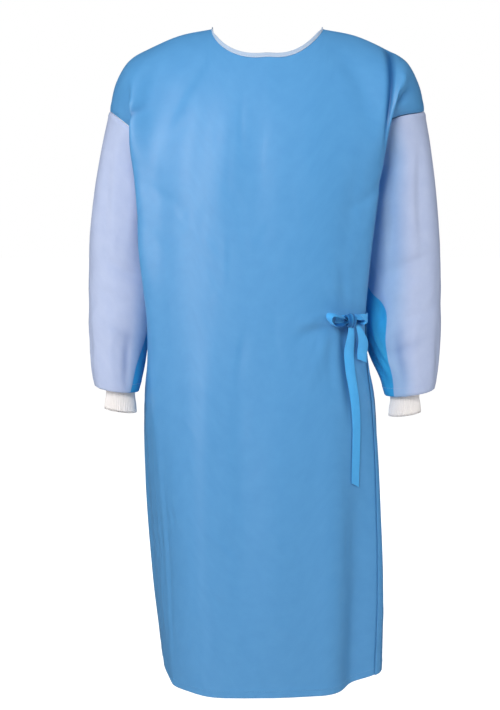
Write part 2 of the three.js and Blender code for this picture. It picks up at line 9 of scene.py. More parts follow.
import bpy
import numpy as np
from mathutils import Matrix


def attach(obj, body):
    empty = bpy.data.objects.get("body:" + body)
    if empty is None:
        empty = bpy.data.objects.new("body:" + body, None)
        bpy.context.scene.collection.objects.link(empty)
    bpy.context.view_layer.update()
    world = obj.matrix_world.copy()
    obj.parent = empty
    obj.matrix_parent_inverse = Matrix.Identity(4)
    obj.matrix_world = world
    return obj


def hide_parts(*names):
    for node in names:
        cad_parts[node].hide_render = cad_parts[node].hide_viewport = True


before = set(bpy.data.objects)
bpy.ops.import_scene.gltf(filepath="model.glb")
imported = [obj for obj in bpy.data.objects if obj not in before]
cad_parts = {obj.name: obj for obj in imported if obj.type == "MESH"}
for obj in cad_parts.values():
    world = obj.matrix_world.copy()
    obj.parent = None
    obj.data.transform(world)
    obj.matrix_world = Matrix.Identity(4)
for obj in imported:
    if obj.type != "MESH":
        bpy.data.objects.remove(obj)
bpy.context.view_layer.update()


def table(columns, *rows):
    """Named columns of numbers, from rows that are written one to a line."""
    return dict(zip(columns.split(), np.array(rows, float).T))


# Sizes of the gown
MM = 0.001
CLOTH = 1.5  # wall of a panel in the solid model
SHELL = 1.0  # wall of a panel here
LAP_GAP = 0.4  # between the wrap and the panel that it hangs over
SEAM_GAP = 0.3  # between two pieces that are sewn to each other
LENGTH = 1190  # top of the shoulder to the hem
UNDERARM = 228  # top of the shoulder to the underarm
CHEST = {"front": 300, "back": 285}  # top of the shoulder to the chest level
NECK_HALF = 99  # half the neck opening's width
NECK_SWEEP = {"front": 34, "back": 30}  # degrees that the neckline lies down the shoulder's curve
NECK_RISE = 15  # how much higher the shoulder line would be at the middle of the neck
NECK_EASE = {"right": 0.8, "left": 1.2}  # how soon the front neckline rises to each shoulder
NECK_ROUND = 0.85  # power of the sine that spreads the neckline across
SEAM_Y = 8  # shoulder seam's depth at the neck
ARMHOLE_DEPTH = 61  # half the armhole from front to back
ARMHOLE_RISE = 26  # lifts the left armhole at its front
ARM_Y = 24  # depth at which the arm hangs
ARM_REACH = 63  # half the width of the dent that the arm presses in the side
SIDE_Y = 12  # depth of the side seams
NECK_SHARE = 0.3  # share of a row, from its middle out, that is neckline
ARMHOLE_DRAW = 0.42  # share of a row from which the cloth is drawn out to the armhole
YOKE_SLOPE = 0.3  # share of the yoke's fall that is an even slope
# Where the hem is drawn up or hangs lower: turn, half width in degrees, and rise
HEM_BENDS = ((72, 20, 15), (-60, 20, -9))

# The shoulder seam from the neck to the cap's edge
SHOULDER = table(
    "share x z",
    (0.0, 99, -3),
    (0.27, 158, -14),
    (0.52, 212, -36),
    (0.7, 249, -58),
    (0.85, 273, -97),
    (1.0, 286, -146),
)
# The body's level rings, and the share of the reach that the hanging arm presses in
TORSO = table(
    "z right left front back square dent_right dent_left",
    (-150, 252, 240, 108, 92, 2.9, 0.27, 0.25),
    (-230, 243, 222, 116, 98, 2.8, 0.25, 0.19),
    (-305, 233, 203, 122, 102, 2.8, 0.2, 0.13),
    (-485, 228, 182, 128, 108, 2.8, 0.12, 0.07),
    (-560, 230, 182, 130, 112, 2.8, 0.06, 0.04),
    (-665, 237, 197, 134, 116, 2.8, 0.0, 0.0),
    (-845, 242, 209, 139, 122, 2.8, 0.0, 0.0),
    (-1027, 232, 219, 144, 128, 2.8, 0.0, 0.0),
    (-1190, 214, 219, 149, 134, 2.7, 0.0, 0.0),
)
# The largest folds: turn, half width in degrees, how far out, and the heights where they start and are full
FOLDS = (
    (47, 15, -27, -560, -1150),
    (66, 10, 7, -540, -900),
    (61, 11, 8, -210, -330),
    (61, 11, -8, -520, -640),
    (-61, 9, 20, -150, -245),
    (-61, 9, -17, -380, -560),
    (-67, 33, -38, -450, -950),
    (-67, 33, 12, -960, -1190),
    (-22, 11, 5, -440, -900),
    (12, 13, -5, -760, -1190),
    (128, 14, 12, -420, -1100),
    (158, 13, -13, -380, -1100),
    (186, 14, 12, -450, -1150),
    (214, 13, -12, -360, -1050),
    (240, 13, 11, -480, -1100),
)
# Free edges of the two back panels
WRAP_EDGE = table(
    "level turn",
    (0, 171),
    (0.5, 165),
    (1.0, 142),
    (1.15, 108),
    (1.28, 74),
    (1.45, 66),
    (2, 63),
)
UNDER_EDGE = table("level turn", (0, 188), (1, 199), (2, 204))
WRAP_CLIMB = (20, 5)  # degrees past the under panel's edge where the wrap begins and ends its climb

# Sleeve sections below the armhole
SLEEVE = {
    "right": table(
        "z x y width depth tilt",
        (-240, 252, 28, 57, 56, 27),
        (-300, 255, 31, 64, 58, 16),
        (-370, 263, 34, 65, 61, 9),
        (-440, 267, 31, 64, 62, 4),
        (-510, 270, 19, 61, 61, 3),
        (-570, 273, 6, 55, 56, 4),
        (-620, 276, -8, 48, 48, 6),
        (-648, 276, -17, 41, 41, 8),
    ),
    "left": table(
        "z x y width depth tilt",
        (-240, 250, 28, 56, 56, 27),
        (-300, 250, 31, 63, 58, 16),
        (-370, 253, 34, 67, 61, 9),
        (-440, 255, 31, 69, 62, 4),
        (-510, 253, 18, 71, 62, 3),
        (-570, 252, 4, 69.5, 57, 4),
        (-624, 261, -12, 54, 49, 6),
        (-654, 262, -22, 46, 42, 8),
    ),
}
SIDE = {"right": -1, "left": 1}
# Creases that draw a sleeve in: height, half height, depth, bearing (0 outside, 90 front), half width
SLEEVE_DRAWS = (
    (-432, 26, 3, 120, 80),
    (-500, 22, 2, 60, 70),
    (-575, 20, 2, 150, 80),
)
ARMHOLE_GAP = 0.4  # between the body and a sleeve
UNDERARM_GAP = 2.4  # the same where the two walls turn back to back
SLEEVE_LIP = 5  # how far the turned-in end of the sleeve rises to the cuff
CUFF_HALF = (28, 26)  # half the cuff's width and depth
CUFF_VISIBLE = 42
CUFF_SHIFT = {"right": -6, "left": -8}  # cuff's middle from the sleeve end's, away from the body


# Small helpers


def smoothstep(start, end, values):
    """0 before start, 1 after end, with a soft S between them."""
    share = np.clip((values - start) / (end - start), 0, 1)
    return share * share * (3 - 2 * share)


def bell(distance):
    """The bell curve exp(-d^2) that folds and creases fall off by."""
    return np.exp(-distance * distance)


def signed_power(values, exponent):
    """The power of the size of a number, with its sign kept."""
    return np.sign(values) * np.abs(values) ** exponent


def mix(first, second, share):
    """The first value moved a share of the way to the second."""
    return first + (second - first) * share


def round_apart(values, middle, whole=360):
    """How far values lie from a place on a ring, by the shorter way round."""
    return (values - middle + whole / 2) % whole - whole / 2


def unit(vectors):
    """Vectors divided by their lengths."""
    return vectors / np.maximum(np.linalg.norm(vectors, axis=-1, keepdims=True), 1e-9)


def pushed(points, outward, out):
    """Points moved along their outward directions."""
    return points + outward * np.asarray(out)[..., None]


def closed_up(rows):
    """Rows of a ring with their first value given again at the end."""
    return np.concatenate([rows, rows[:, :1]], axis=1)


def joined(*columns):
    """Points from their separate coordinates, which may be rows, columns or single numbers."""
    return np.stack(np.broadcast_arrays(*columns), axis=-1)


def hermite(start, run_start, end, run_end, share):
    """A cubic from start to end with the given runs at its two ends."""
    square = share * share
    cube = square * share
    return (
        (2 * cube - 3 * square + 1) * start
        + (cube - 2 * square + share) * run_start
        + (3 * square - 2 * cube) * end
        + (cube - square) * run_end
    )


def read_table(source, values):
    """A smooth curve through every column, read at values of the first column. The slope at a row is
    that of the line between the rows on both sides of it."""
    names = list(source)
    order = np.argsort(source[names[0]])
    keys = source[names[0]][order]
    values = np.clip(values, keys[0], keys[-1])
    at = np.clip(np.searchsorted(keys, values) - 1, 0, len(keys) - 2)
    before = np.maximum(at - 1, 0)
    after = np.minimum(at + 2, len(keys) - 1)
    step = keys[at + 1] - keys[at]
    share = (values - keys[at]) / step
    read = {}
    for name in names:
        column = source[name][order]
        run_start = (column[at + 1] - column[before]) / (keys[at + 1] - keys[before]) * step
        run_end = (column[after] - column[at]) / (keys[after] - keys[at]) * step
        read[name] = hermite(column[at], run_start, column[at + 1], run_end, share)
    return read


# The body's surface

JUST_BELOW_CHEST = 1.01  # level that gives the skirt's direction at the chest
TURN_STEP = 0.4  # steps to both sides that give the surface's direction
LEVEL_STEP = 0.004


def folds_at(turn, z):
    """How far the largest folds stand out: a bell across each, growing down from its start."""
    out = np.zeros_like(z)
    for middle, spread, far, starts, full in FOLDS:
        out += far * bell(round_apart(turn, middle) / spread) * smoothstep(starts, full, z)
    return out


def ring_point(turn, z):
    """A squared ellipse at a height, x = reach sin^e, y = depth cos^e, pressed in where the arm hangs."""
    row = read_table(TORSO, z)
    across = np.sin(np.radians(turn))
    ahead = np.cos(np.radians(turn))
    power = 2 / row["square"]
    reach = np.where(across > 0, row["left"], row["right"])
    dent = np.where(across > 0, row["dent_left"], row["dent_right"])
    depth = np.where(ahead > 0, row["front"] + SIDE_Y, row["back"] - SIDE_Y)
    y = SIDE_Y - depth * signed_power(ahead, power)
    pressed = 1 - dent * np.exp(-(((y - ARM_Y) / ARM_REACH) ** 4))
    x = reach * signed_power(across, power) * pressed
    out = folds_at(turn, z)
    return joined(x + across * out, y - ahead * out, z)


def chest_at(turn):
    """The height of the chest line, which dips at the front and back."""
    ahead = np.cos(np.radians(turn))
    dip = np.where(ahead > 0, CHEST["front"], CHEST["back"]) - UNDERARM
    return -UNDERARM - dip * ahead * ahead


def hem_at(turn):
    """The height of the hem, with a bell wherever it is drawn up or hangs lower."""
    return -LENGTH + sum(rise * bell((turn - middle) / spread) for middle, spread, rise in HEM_BENDS)


def skirt_point(turn, level):
    """The ring at a height between the chest line and the hem."""
    return ring_point(turn, mix(chest_at(turn), hem_at(turn), level - 1))


def shoulder_line(place, face):
    """The line over the shoulders from the right armhole (-1) to the left (1), and how far down the
    yoke's curve, in degrees, the cloth begins at each place of it."""
    out = np.abs(place)
    around = np.clip(out / NECK_SHARE, 0, 1) * (math.pi / 2)
    neck_x = NECK_HALF * np.sin(around) ** NECK_ROUND
    neck_z = SHOULDER["z"][0] + NECK_RISE * (1 - neck_x / NECK_HALF)
    share = np.clip((out - NECK_SHARE) / (1 - NECK_SHARE), 0, 1)
    row = read_table(SHOULDER, share)
    on_neck = out < NECK_SHARE
    x = np.where(on_neck, neck_x, row["x"]) * np.where(place < 0, -1, 1)
    z = np.where(on_neck, neck_z, row["z"])
    y = mix(SEAM_Y, ARM_Y, share)
    ease = NECK_EASE["right"]
    if face == "front":
        ease = np.where(place < 0, NECK_EASE["right"], NECK_EASE["left"])
    start = np.where(on_neck, NECK_SWEEP[face] * np.clip(np.cos(around), 0, 1) ** ease, 0)
    return joined(x, y, z), start


def turn_at(place, face):
    """The turn at a place from the right armhole (-1) to the left (1): a quarter turn for each 1."""
    return 90 * place if face == "front" else 180 - 90 * place


def armhole_point(side, face, level):
    """Half of a tilted oval: down from the cap's edge to the underarm by the front or the back. The
    left one's front is lifted by sin(a) (1 - cos(a)), most of it past the middle."""
    top, _ = shoulder_line(side, face)
    bottom = skirt_point(90 * side, np.ones_like(level))
    around = level * math.pi
    point = (top + bottom) / 2 + (top - bottom) / 2 * np.cos(around)[..., None]
    ahead = -1 if face == "front" else 1
    point[..., 1] += ahead * ARMHOLE_DEPTH * np.sin(around)
    if face == "front":
        lifted = np.where(side > 0, ARMHOLE_RISE, 0)
        point[..., 2] += lifted * np.sin(around) * (1 - np.cos(around))
    return point


def yoke_curve(place, level, face):
    """A quarter turn from the shoulder line out and down to the chest, ending along the skirt."""
    turn = turn_at(place, face)
    top, start = shoulder_line(place, face)
    chest = skirt_point(turn, np.ones_like(level))
    sweep = np.radians(mix(start, 90, level))
    fall = YOKE_SLOPE * sweep / (math.pi / 2) + (1 - YOKE_SLOPE) * (1 - np.cos(sweep))
    drop = chest[..., 2] - top[..., 2]
    x = mix(top[..., 0], chest[..., 0], smoothstep(0, 1, level))
    y = mix(top[..., 1], chest[..., 1], np.sin(sweep))
    below = skirt_point(turn, np.full_like(level, JUST_BELOW_CHEST)) - chest
    speed = drop * (YOKE_SLOPE * 2 / math.pi + 1 - YOKE_SLOPE) * np.radians(90 - start)
    turn_in = speed / below[..., 2] * level * level * (level - 1)
    return joined(x + below[..., 0] * turn_in, y + below[..., 1] * turn_in, top[..., 2] + drop * fall)


def yoke_point(place, level, face):
    """The yoke's curve, its outer part drawn to the armhole."""
    side = np.where(place < 0, -1.0, 1.0)
    drawn = smoothstep(ARMHOLE_DRAW, 1, np.abs(place))[..., None]
    pull = armhole_point(side, face, level) - yoke_curve(side, level, face)
    return yoke_curve(place, level, face) + pull * drawn


def body_point(turn, level, face):
    """The body's surface: the yoke above level 1 and the skirt below it."""
    turn, level = np.broadcast_arrays(np.asarray(turn, float), np.asarray(level, float))
    place = np.clip(turn / 90 if face == "front" else (180 - turn) / 90, -1, 1)
    yoke = yoke_point(place, np.clip(level, 0, 1), face)
    skirt = skirt_point(turn, np.clip(level, 1, 2))
    return np.where((level < 1)[..., None], yoke, skirt)


def body_outward(turn, level, face):
    """The body's outward direction: down the surface crossed with along it."""
    turn, level = np.broadcast_arrays(np.asarray(turn, float), np.asarray(level, float))
    across = body_point(turn + TURN_STEP, level, face) - body_point(turn - TURN_STEP, level, face)
    low = np.minimum(level + LEVEL_STEP, 2)
    high = np.maximum(level - LEVEL_STEP, 0)
    down = body_point(turn, low, face) - body_point(turn, high, face)
    return unit(np.cross(down, across))


# Millimetres round the body from the middle of the front, so that creases can be placed by length
ARC_Z = -500.0  # the height of the ring that they are measured on
ARC_TURNS = np.linspace(-90, 270, 1441)


def ring_lengths():
    """The length round the ring at each turn, from the right side on."""
    ring = ring_point(ARC_TURNS, np.full_like(ARC_TURNS, ARC_Z))
    steps = np.linalg.norm(np.diff(ring, axis=0), axis=1)
    return np.concatenate([[0], np.cumsum(steps)])


ARC_LENGTHS = ring_lengths()
ARC_ROUND = ARC_LENGTHS[-1]
ARC_MM = ARC_LENGTHS - np.interp(0, ARC_TURNS, ARC_LENGTHS)


def arc_of(turn):
    """Millimetres round the ring, read from its lengths at the turns."""
    return np.interp(turn, ARC_TURNS, ARC_MM)


def turn_of(arc):
    """The turn at a length round the ring, the other way about."""
    return np.interp(arc, ARC_MM, ARC_TURNS)


# Creases

SWELL = (0.4, 0.55)  # shares of a crease's length where it reaches its depth and starts to fade
WIDTH, OUT = 4, 5  # places of the half width and the depth in a crease's row
PAINTED_SHADE_WIDTH = 9  # a trough narrower than this gets painted shade inside
PAINTED_SHADE_DEPTH = 6  # depth at which its painted shade is darkest
CRINKLE_SLANT = 24  # usual slant in degrees
CRINKLE_LENGTH = (40, 170)
CRINKLE_WIDTH = (4.5, 11)  # half the width
CRINKLE_DEPTH = (0.15, 0.65)
CRINKLE_BEND = 0.06  # usual bow, as a share of the length
CRINKLE_LEAN = 0.5


def stroke_out(across, z, stroke, round_mm):
    """One crease: a bell across its line times a soft swell along it. The line bows by the bend, and
    the lean makes one side of the crease steeper than the other."""
    from_across, from_z, to_across, to_z, half_width, out, bend, lean = stroke
    run = np.array([to_across - from_across, to_z - from_z])
    length = np.hypot(*run)
    along_across, along_z = run / length
    apart = round_apart(across, from_across, round_mm)
    down = z - from_z
    share = (apart * along_across + down * along_z) / length
    off = apart * along_z - down * along_across - bend * 4 * share * (1 - share)
    swell = smoothstep(0, SWELL[0], share) * smoothstep(1, SWELL[1], share)
    return out * bell(off / (half_width * np.where(off > 0, 1 + lean, 1 - lean))) * swell


def strokes_out(across, z, strokes, round_mm):
    """The sum of many creases on a tube that is round_mm round."""
    total = np.zeros_like(z)
    for stroke in strokes:
        total += stroke_out(across, z, stroke, round_mm)
    return total


def painted_trough_shade(across, z, strokes, round_mm):
    """How deep inside the narrow troughs a point lies, from 0 to 1: the painted shade there, since little
    light reaches down there.
    """
    narrow = [stroke for stroke in strokes if stroke[WIDTH] < PAINTED_SHADE_WIDTH and stroke[OUT] < 0]
    return np.clip(-strokes_out(across, z, narrow, round_mm) / PAINTED_SHADE_DEPTH, 0, 1)


def crinkles(seed, count, across_range, z_range):
    """Small soft creases at random places, mostly upright, of uneven length, width and depth."""
    rng = np.random.default_rng(seed)
    across = rng.uniform(*across_range, count)
    z = rng.uniform(*z_range, count)
    slant = np.radians(rng.normal(0, CRINKLE_SLANT, count))
    length = rng.uniform(*CRINKLE_LENGTH, count)
    half_width = rng.uniform(*CRINKLE_WIDTH, count)
    out = rng.choice([-1, 1], count) * rng.uniform(*CRINKLE_DEPTH, count)
    bend = rng.normal(0, CRINKLE_BEND, count) * length
    lean = rng.uniform(-CRINKLE_LEAN, CRINKLE_LEAN, count)
    to_across = across + length * np.sin(slant)
    to_z = z - length * np.cos(slant)
    return np.stack([across, z, to_across, to_z, half_width, out, bend, lean], axis=1)


# Meshes from grids

EDGE_ROWS = (0.9, 2.4)  # places of the two close rows beside an edge
# A panel of cloth: its points, outward directions, place round the body, distances from its edges, and the
# painted shade for how deep it lies in narrow troughs
Panel = namedtuple("Panel", "points outward across from_start from_end from_top from_bottom hollow")


def grid_outward(points, closed=False):
    """The outward direction at each point of a grid: the way down it crossed with the way along it."""
    down = np.gradient(points, axis=0)
    if closed:
        along = np.roll(points, -1, axis=1) - np.roll(points, 1, axis=1)
    else:
        along = np.gradient(points, axis=1)
    return unit(np.cross(down, along))


def run_lengths(points, axis):
    """The length from the first point of each row or column of a grid."""
    steps = np.linalg.norm(np.diff(points, axis=axis), axis=-1)
    start = np.zeros_like(np.take(steps, [0], axis=axis))
    return np.concatenate([start, np.cumsum(steps, axis=axis)], axis=axis)


def path_lengths(path):
    """The length along a path at each of its points."""
    return run_lengths(path[None], 1)[0]


def fine_ends(count, length):
    """Even shares from 0 to 1, with two more close to each end so that an edge stays crisp."""
    near = np.array(EDGE_ROWS) / length
    return np.concatenate([[0], near, np.linspace(0, 1, count + 1)[1:-1], 1 - near[::-1], [1]])


def grid_faces(rows, columns, closed=False):
    """Four corners for each cell of a grid, turning the outward way."""
    index = np.arange(rows * columns).reshape(rows, columns)
    if closed:
        index = closed_up(index)
    return np.stack([index[:-1, :-1], index[1:, :-1], index[1:, 1:], index[:-1, 1:]], axis=-1)


def corner_values(values):
    """Values on a grid's points, given again for the four corners of each cell."""
    return np.stack([values[:-1, :-1], values[1:, :-1], values[1:, 1:], values[:-1, 1:]], axis=2)


def add_mesh(name, points, faces, uv=None, **point_values):
    """A mesh object from points in millimetres and faces. The UV map is in metres of cloth, and each
    other value is stored on the points under its own name."""
    mesh = bpy.data.meshes.new(name)
    mesh.from_pydata((points.reshape(-1, 3) * MM).tolist(), [], faces)
    if uv is not None:
        layer = mesh.uv_layers.new(name="cloth")
        layer.data.foreach_set("uv", np.ascontiguousarray(uv, dtype=np.float32).ravel())
    for key, values in point_values.items():
        attribute = mesh.attributes.new(key, "FLOAT", "POINT")
        attribute.data.foreach_set("value", values.astype(np.float32).ravel())
    mesh.shade_smooth()
    made = bpy.data.objects.new(name, mesh)
    bpy.context.scene.collection.objects.link(made)
    return made


def add_grid(name, points, uv, closed=False, flip=False, **point_values):
    """A grid as a mesh. A closed grid's rows join end to start, and its UV has one column more."""
    rows, columns = points.shape[:2]
    faces = grid_faces(rows, columns, closed).reshape(-1, 4)
    corners = corner_values(uv).reshape(-1, 4, 2)
    if flip:
        faces = faces[:, ::-1]
        corners = corners[:, ::-1]
    return add_mesh(name, points, faces.tolist(), corners, **point_values)


def give_wall(piece, thickness):
    """Cloth of that thickness, grown inwards from the surface."""
    wall = piece.modifiers.new("wall", "SOLIDIFY")
    wall.thickness = thickness * MM
    wall.offset = -1
    return piece


# Body panels

YOKE_ROWS = 62
SKIRT_ROWS = 186
COLUMNS = {"front": 168, "under": 92, "wrap": 168}
YOKE_RUN = 300  # about how far the yoke and the skirt run down, and a panel round
SKIRT_RUN = 890
PANEL_RUN = 500
CREASE_FADE = 16  # creases fade out this near the top edge
SEAM_DRAW = 1.1  # how far the cloth is drawn in along a sewn seam
SEAM_REACH = 4.5  # and how far beside it
HEM_BAND = 15  # turned-up hem
EDGE_BAND = 13  # turned-in free edge
BAND_RISE = 0.5  # how much a turned edge stands out
BAND_STEP = 1.5  # width of the step up to it
FAR_AWAY = 200  # more than a seam reaches


def body_levels():
    """The rows' levels, close together at the shoulder seam and the hem."""
    yoke = fine_ends(YOKE_ROWS, YOKE_RUN)[:-2]
    skirt = 1 + fine_ends(SKIRT_ROWS, SKIRT_RUN)[2:]
    return np.concatenate([yoke, skirt[1:]])


def side_seam(turn):
    """An edge at the same turn on every level."""
    return lambda level: np.full_like(level, float(turn))


def wrap_edge(level):
    """The turn of the wrap's free edge: a smooth curve through its table."""
    return read_table(WRAP_EDGE, level)["turn"]


def under_edge(level):
    """The turn of the under panel's free edge, in the same way."""
    return read_table(UNDER_EDGE, level)["turn"]


def wrap_lift(turn, level):
    """The wrap climbs onto the under panel near that panel's free edge and stays a lap's gap above it."""
    edge = under_edge(level)
    return (CLOTH + LAP_GAP) * smoothstep(edge + WRAP_CLIMB[0], edge + WRAP_CLIMB[1], turn)


def body_panel(face, columns, edge_from, edge_to, lift=None):
    """A panel between two edges. Its columns are evenly spaced round the body, and its points move out
    along the surface's own outward direction by the creases."""
    levels = body_levels()
    start = arc_of(edge_from(levels))[:, None]
    end = arc_of(edge_to(levels))[:, None]
    across = mix(start, end, fine_ends(columns, PANEL_RUN)[None, :])
    turn = turn_of(across)
    level = np.broadcast_to(levels[:, None], turn.shape)
    points = body_point(turn, level, face)
    outward = body_outward(turn, level, face)
    if lift is not None:
        points = pushed(points, outward, lift(turn, level))
    from_start = run_lengths(points, 1)
    from_top = run_lengths(points, 0)
    from_end = from_start[:, -1:] - from_start
    from_bottom = from_top[-1:] - from_top
    fade = smoothstep(0, CREASE_FADE, from_top)
    out = crease_depth(across, points[..., 2]) * fade
    # painted shade: the colour is darkened inside the narrow troughs
    hollow = painted_trough_shade(across, points[..., 2], BODY_CREASES, ARC_ROUND) * fade
    points = pushed(points, outward, out)
    return Panel(points, outward, across, from_start, from_end, from_top, from_bottom, hollow)


def crease_depth(across, z):
    """How far the body's creases and crinkles stand out, below zero in a trough."""
    main = strokes_out(across, z, BODY_CREASES, ARC_ROUND)
    return main + strokes_out(across, z, BODY_CRINKLES, ARC_ROUND)


def moved_out(panel, out):
    """The panel with its points moved along its outward directions."""
    points = pushed(panel.points, panel.outward, out)
    return panel._replace(points=points, outward=grid_outward(points))


def cloth_uv(panel):
    """Metres of cloth: round the body, and down from the top edge."""
    return joined(panel.across, -panel.from_top) * MM


# Creases of the body, in mm round it from the middle of the front (the wearer's left is above zero, and the
# middle of the back is 495) and in height: from, to, half width, out, bend, lean
FRONT_CREASES = (
    (-100, -440, -112, -1260, 30, 3.2, 8, 0.2),
    (-46, -500, -52, -1240, 22, -2.6, -6, -0.2),
    (14, -580, 26, -1260, 24, 2.2, 7, 0.1),
    (84, -570, 80, -1240, 24, -2.4, 8, 0.2),
    (-196, -640, -206, -1270, 12, -1.4, 6, 0.2),
    (-250, -700, -246, -1260, 14, 1.6, 4, 0.1),
    (-108, -28, -176, -220, 15, -2.6, 9, 0.2),
    (-128, -60, -150, -340, 20, 2.2, -8, 0.0),
    (-62, -90, -84, -420, 24, 1.8, 8, 0.2),
    (-18, -100, -30, -430, 26, -1.5, -6, 0.0),
    (106, -30, 152, -205, 13, -2.4, -9, -0.2),
    (58, -90, 72, -400, 24, 1.8, 6, 0.0),
    (22, -130, 20, -380, 22, 1.2, 4, 0.1),
    (128, -190, 122, -460, 16, -2.2, -8, 0.2),
    (-242, -240, -130, -325, 11, -1.2, 12, 0.2),
    (-250, -285, -160, -420, 13, -1.0, 10, 0.2),
    (-262, -350, -196, -510, 14, -1.3, 8, 0.0),
    (222, -245, 105, -335, 11, -2.4, -12, 0.2),
)
SHOULDER_CREASES = (
    (188, 20, 187, -250, 5.5, -7.5, 2, 0.2),
    (206, -40, 206, -200, 8, 2.4, -2, 0.0),
    (196, -74, 228, -122, 6, 2.4, 2, 0.0),
    (248, -152, 226, -104, 5, -3.2, -2, 0.0),
    (206, -118, 238, -138, 5, -1.8, 2, 0.0),
    (-190, -138, -300, -196, 6, -3.0, -5, 0.2),
    (-196, -122, -296, -172, 7, 2.2, -5, 0.0),
    (-186, -60, -206, -170, 12, -2.4, 6, 0.2),
)
BOW_CREASES = (
    (136, -500, 142, -720, 8, -5.0, 3, 0.2),
    (118, -512, 108, -660, 9, -2.8, 4, 0.1),
    (126, -506, 30, -522, 9, 2.0, -5, 0.0),
    (122, -518, 36, -560, 10, -2.2, 7, 0.2),
    (140, -500, 116, -400, 9, -2.6, 4, 0.1),
    (126, -500, 92, -430, 9, 1.8, 5, 0.0),
    (124, -522, 70, -640, 12, 2.2, 8, 0.1),
)
SIDE_CREASES = (
    (206, -540, 202, -1230, 9, 2.2, 3, 0.1),
    (236, -520, 236, -1260, 13, -3.2, 5, 0.2),
    (264, -640, 262, -1260, 13, 3.0, -5, 0.0),
    (302, -470, 306, -1270, 15, -3.8, 6, 0.2),
    (470, -300, 246, -505, 13, 3.0, 18, 0.2),
    (440, -390, 244, -520, 11, -3.0, 14, 0.2),
    (520, -410, 262, -545, 15, 2.4, 26, 0.0),
    (400, -300, 262, -440, 12, -2.4, 12, 0.1),
)
BACK_CREASES = (
    (352, -420, 346, -1240, 20, 5.6, 8, 0.2),
    (398, -470, 404, -1270, 18, -5.9, -8, -0.2),
    (444, -520, 438, -1250, 22, 5.9, 8, 0.2),
    (492, -360, 494, -1270, 20, -6.7, 6, 0.2),
    (542, -400, 548, -1270, 22, 6.4, -8, -0.1),
    (592, -330, 586, -1270, 20, -5.9, 8, 0.2),
    (642, -390, 650, -1270, 20, 5.9, -8, 0.0),
    (692, -480, 694, -1260, 16, -5.0, 6, 0.2),
    (728, -430, 726, -1240, 14, 3.6, 4, 0.0),
    (420, -48, 372, -262, 15, -4.2, 12, 0.2),
    (566, -48, 618, -256, 15, -4.2, -12, -0.2),
    (468, -110, 462, -380, 22, 3.4, 8, 0.0),
    (524, -110, 532, -370, 22, 3.1, -8, 0.0),
    (424, -66, 566, -70, 13, -2.5, 12, 0.0),
    (700, -240, 560, -330, 12, -3.4, 12, 0.2),
    (704, -300, 590, -440, 13, -3.1, 10, 0.2),
)
BODY_CREASES = FRONT_CREASES + SHOULDER_CREASES + BOW_CREASES + SIDE_CREASES + BACK_CREASES
BODY_CRINKLES = crinkles(7, 420, (ARC_MM[0], ARC_MM[-1]), (-1180, -30))


# Sleeves and cuffs

SLEEVE_COLUMNS = 120
HEAD_ROWS = 18
SLEEVE_ROWS = 100
MM_PER_DEGREE = 1.06  # round a sleeve
SLEEVE_ROUND = 360 * MM_PER_DEGREE
AROUND = np.linspace(0, 2 * math.pi, SLEEVE_COLUMNS, endpoint=False)
HEAD_RUN = 60  # about how far the sleeve's head runs down, and its fall in height
HEAD_FALL = 55
HEAD_FADE = 25  # creases fade out this near the armhole
ROLL = {"rise": 1.0, "place": 6, "half": 4}  # the cloth rolls up beside the armhole seam
SLEEVE_HEM = 16  # turned-in end
LIP_SHARES = (0.06, 0.14, 0.3, 0.55, 0.8, 1.0)  # places of the turned-in rows from the fold to the cuff
LIP_SPARE = 0.7  # between the turned-in end and the cuff
LIP_DROP = 3.2  # how far the fold hangs below the last ring
LIP_TURN = 2.2  # how soon it turns up again
LIP_FADE = 4  # rows above the lip over which creases fade out
CUFF_RIBS = 54
CUFF_ROWS = 22
RIB_COLUMNS = 8  # for each rib
RIB_DEPTH = 0.55
RIB_ROUND = 0.7  # power of the wave, which broadens the ribs
CUFF_TUCKED = 9
CUFF_FLARE = (2.0, 0.35)  # how much wider the free edge is, and the share of the cuff where that starts
CUFF_WAIST = (1.2, 0.42, 0.2)  # how far the cuff is drawn in, where, and half the height of that
CUFF_SLACK = 0.48  # how far the free edge waves in and out
KNIT_WALL = 1.6

# The strip of body cloth along the inside of each sleeve: height, and half its width in degrees
STRIP = {
    "right": table(
        "z half",
        *((-240, 26), (-540, 24), (-575, 30), (-600, 40), (-650, 44)),
    ),
    "left": table(
        "z half",
        *((-240, 2), (-450, 4), (-484, 42), (-498, 53)),
        *((-515, 57), (-555, 56), (-600, 53), (-656, 43)),
    ),
}
STRIP_BEARING = 178
STRIP_SINK = 0.7  # how far the strip lies below the sleeve beside it
# Painted shade and blue bounce light on the sleeve beside the strip, made by mixing in the strip's colour:
# how strong it is, and the bearings from the strip's middle, in degrees, where that starts to fade and ends
PAINTED_STRIP_SHADE = {"right": (0.45, 26, 70), "left": (0.36, 60, 98)}


def draws_at(z, bearing):
    """How far the elbow's creases draw a sleeve in: a bell in height times a bell in bearing."""
    depth = np.zeros(np.broadcast(z, bearing).shape)
    for middle, spread, deep, toward, reach in SLEEVE_DRAWS:
        depth += deep * bell((z - middle) / spread) * bell(round_apart(bearing, toward) / reach)
    return depth


def sleeve_ring(side, row, around):
    """Ellipses round the arm, tilted so that the outer side is the higher one."""
    lean = np.radians(row["tilt"])
    drawn = draws_at(row["z"], np.degrees(around))
    out = (row["width"] - drawn) * np.cos(around)
    ahead = (row["depth"] - drawn) * np.sin(around)
    x = side * (row["x"] + out * np.cos(lean))
    y = row["y"] - ahead
    z = row["z"] + out * np.sin(lean)
    return joined(x, y, z)


def armhole_ring(side, around):
    """The armhole's oval, down the front and up the back."""
    half = around / math.pi
    sides = np.full_like(around, float(side))
    front = armhole_point(sides, "front", half)
    back = armhole_point(sides, "back", 2 - half)
    return np.where((half <= 1)[:, None], front, back)


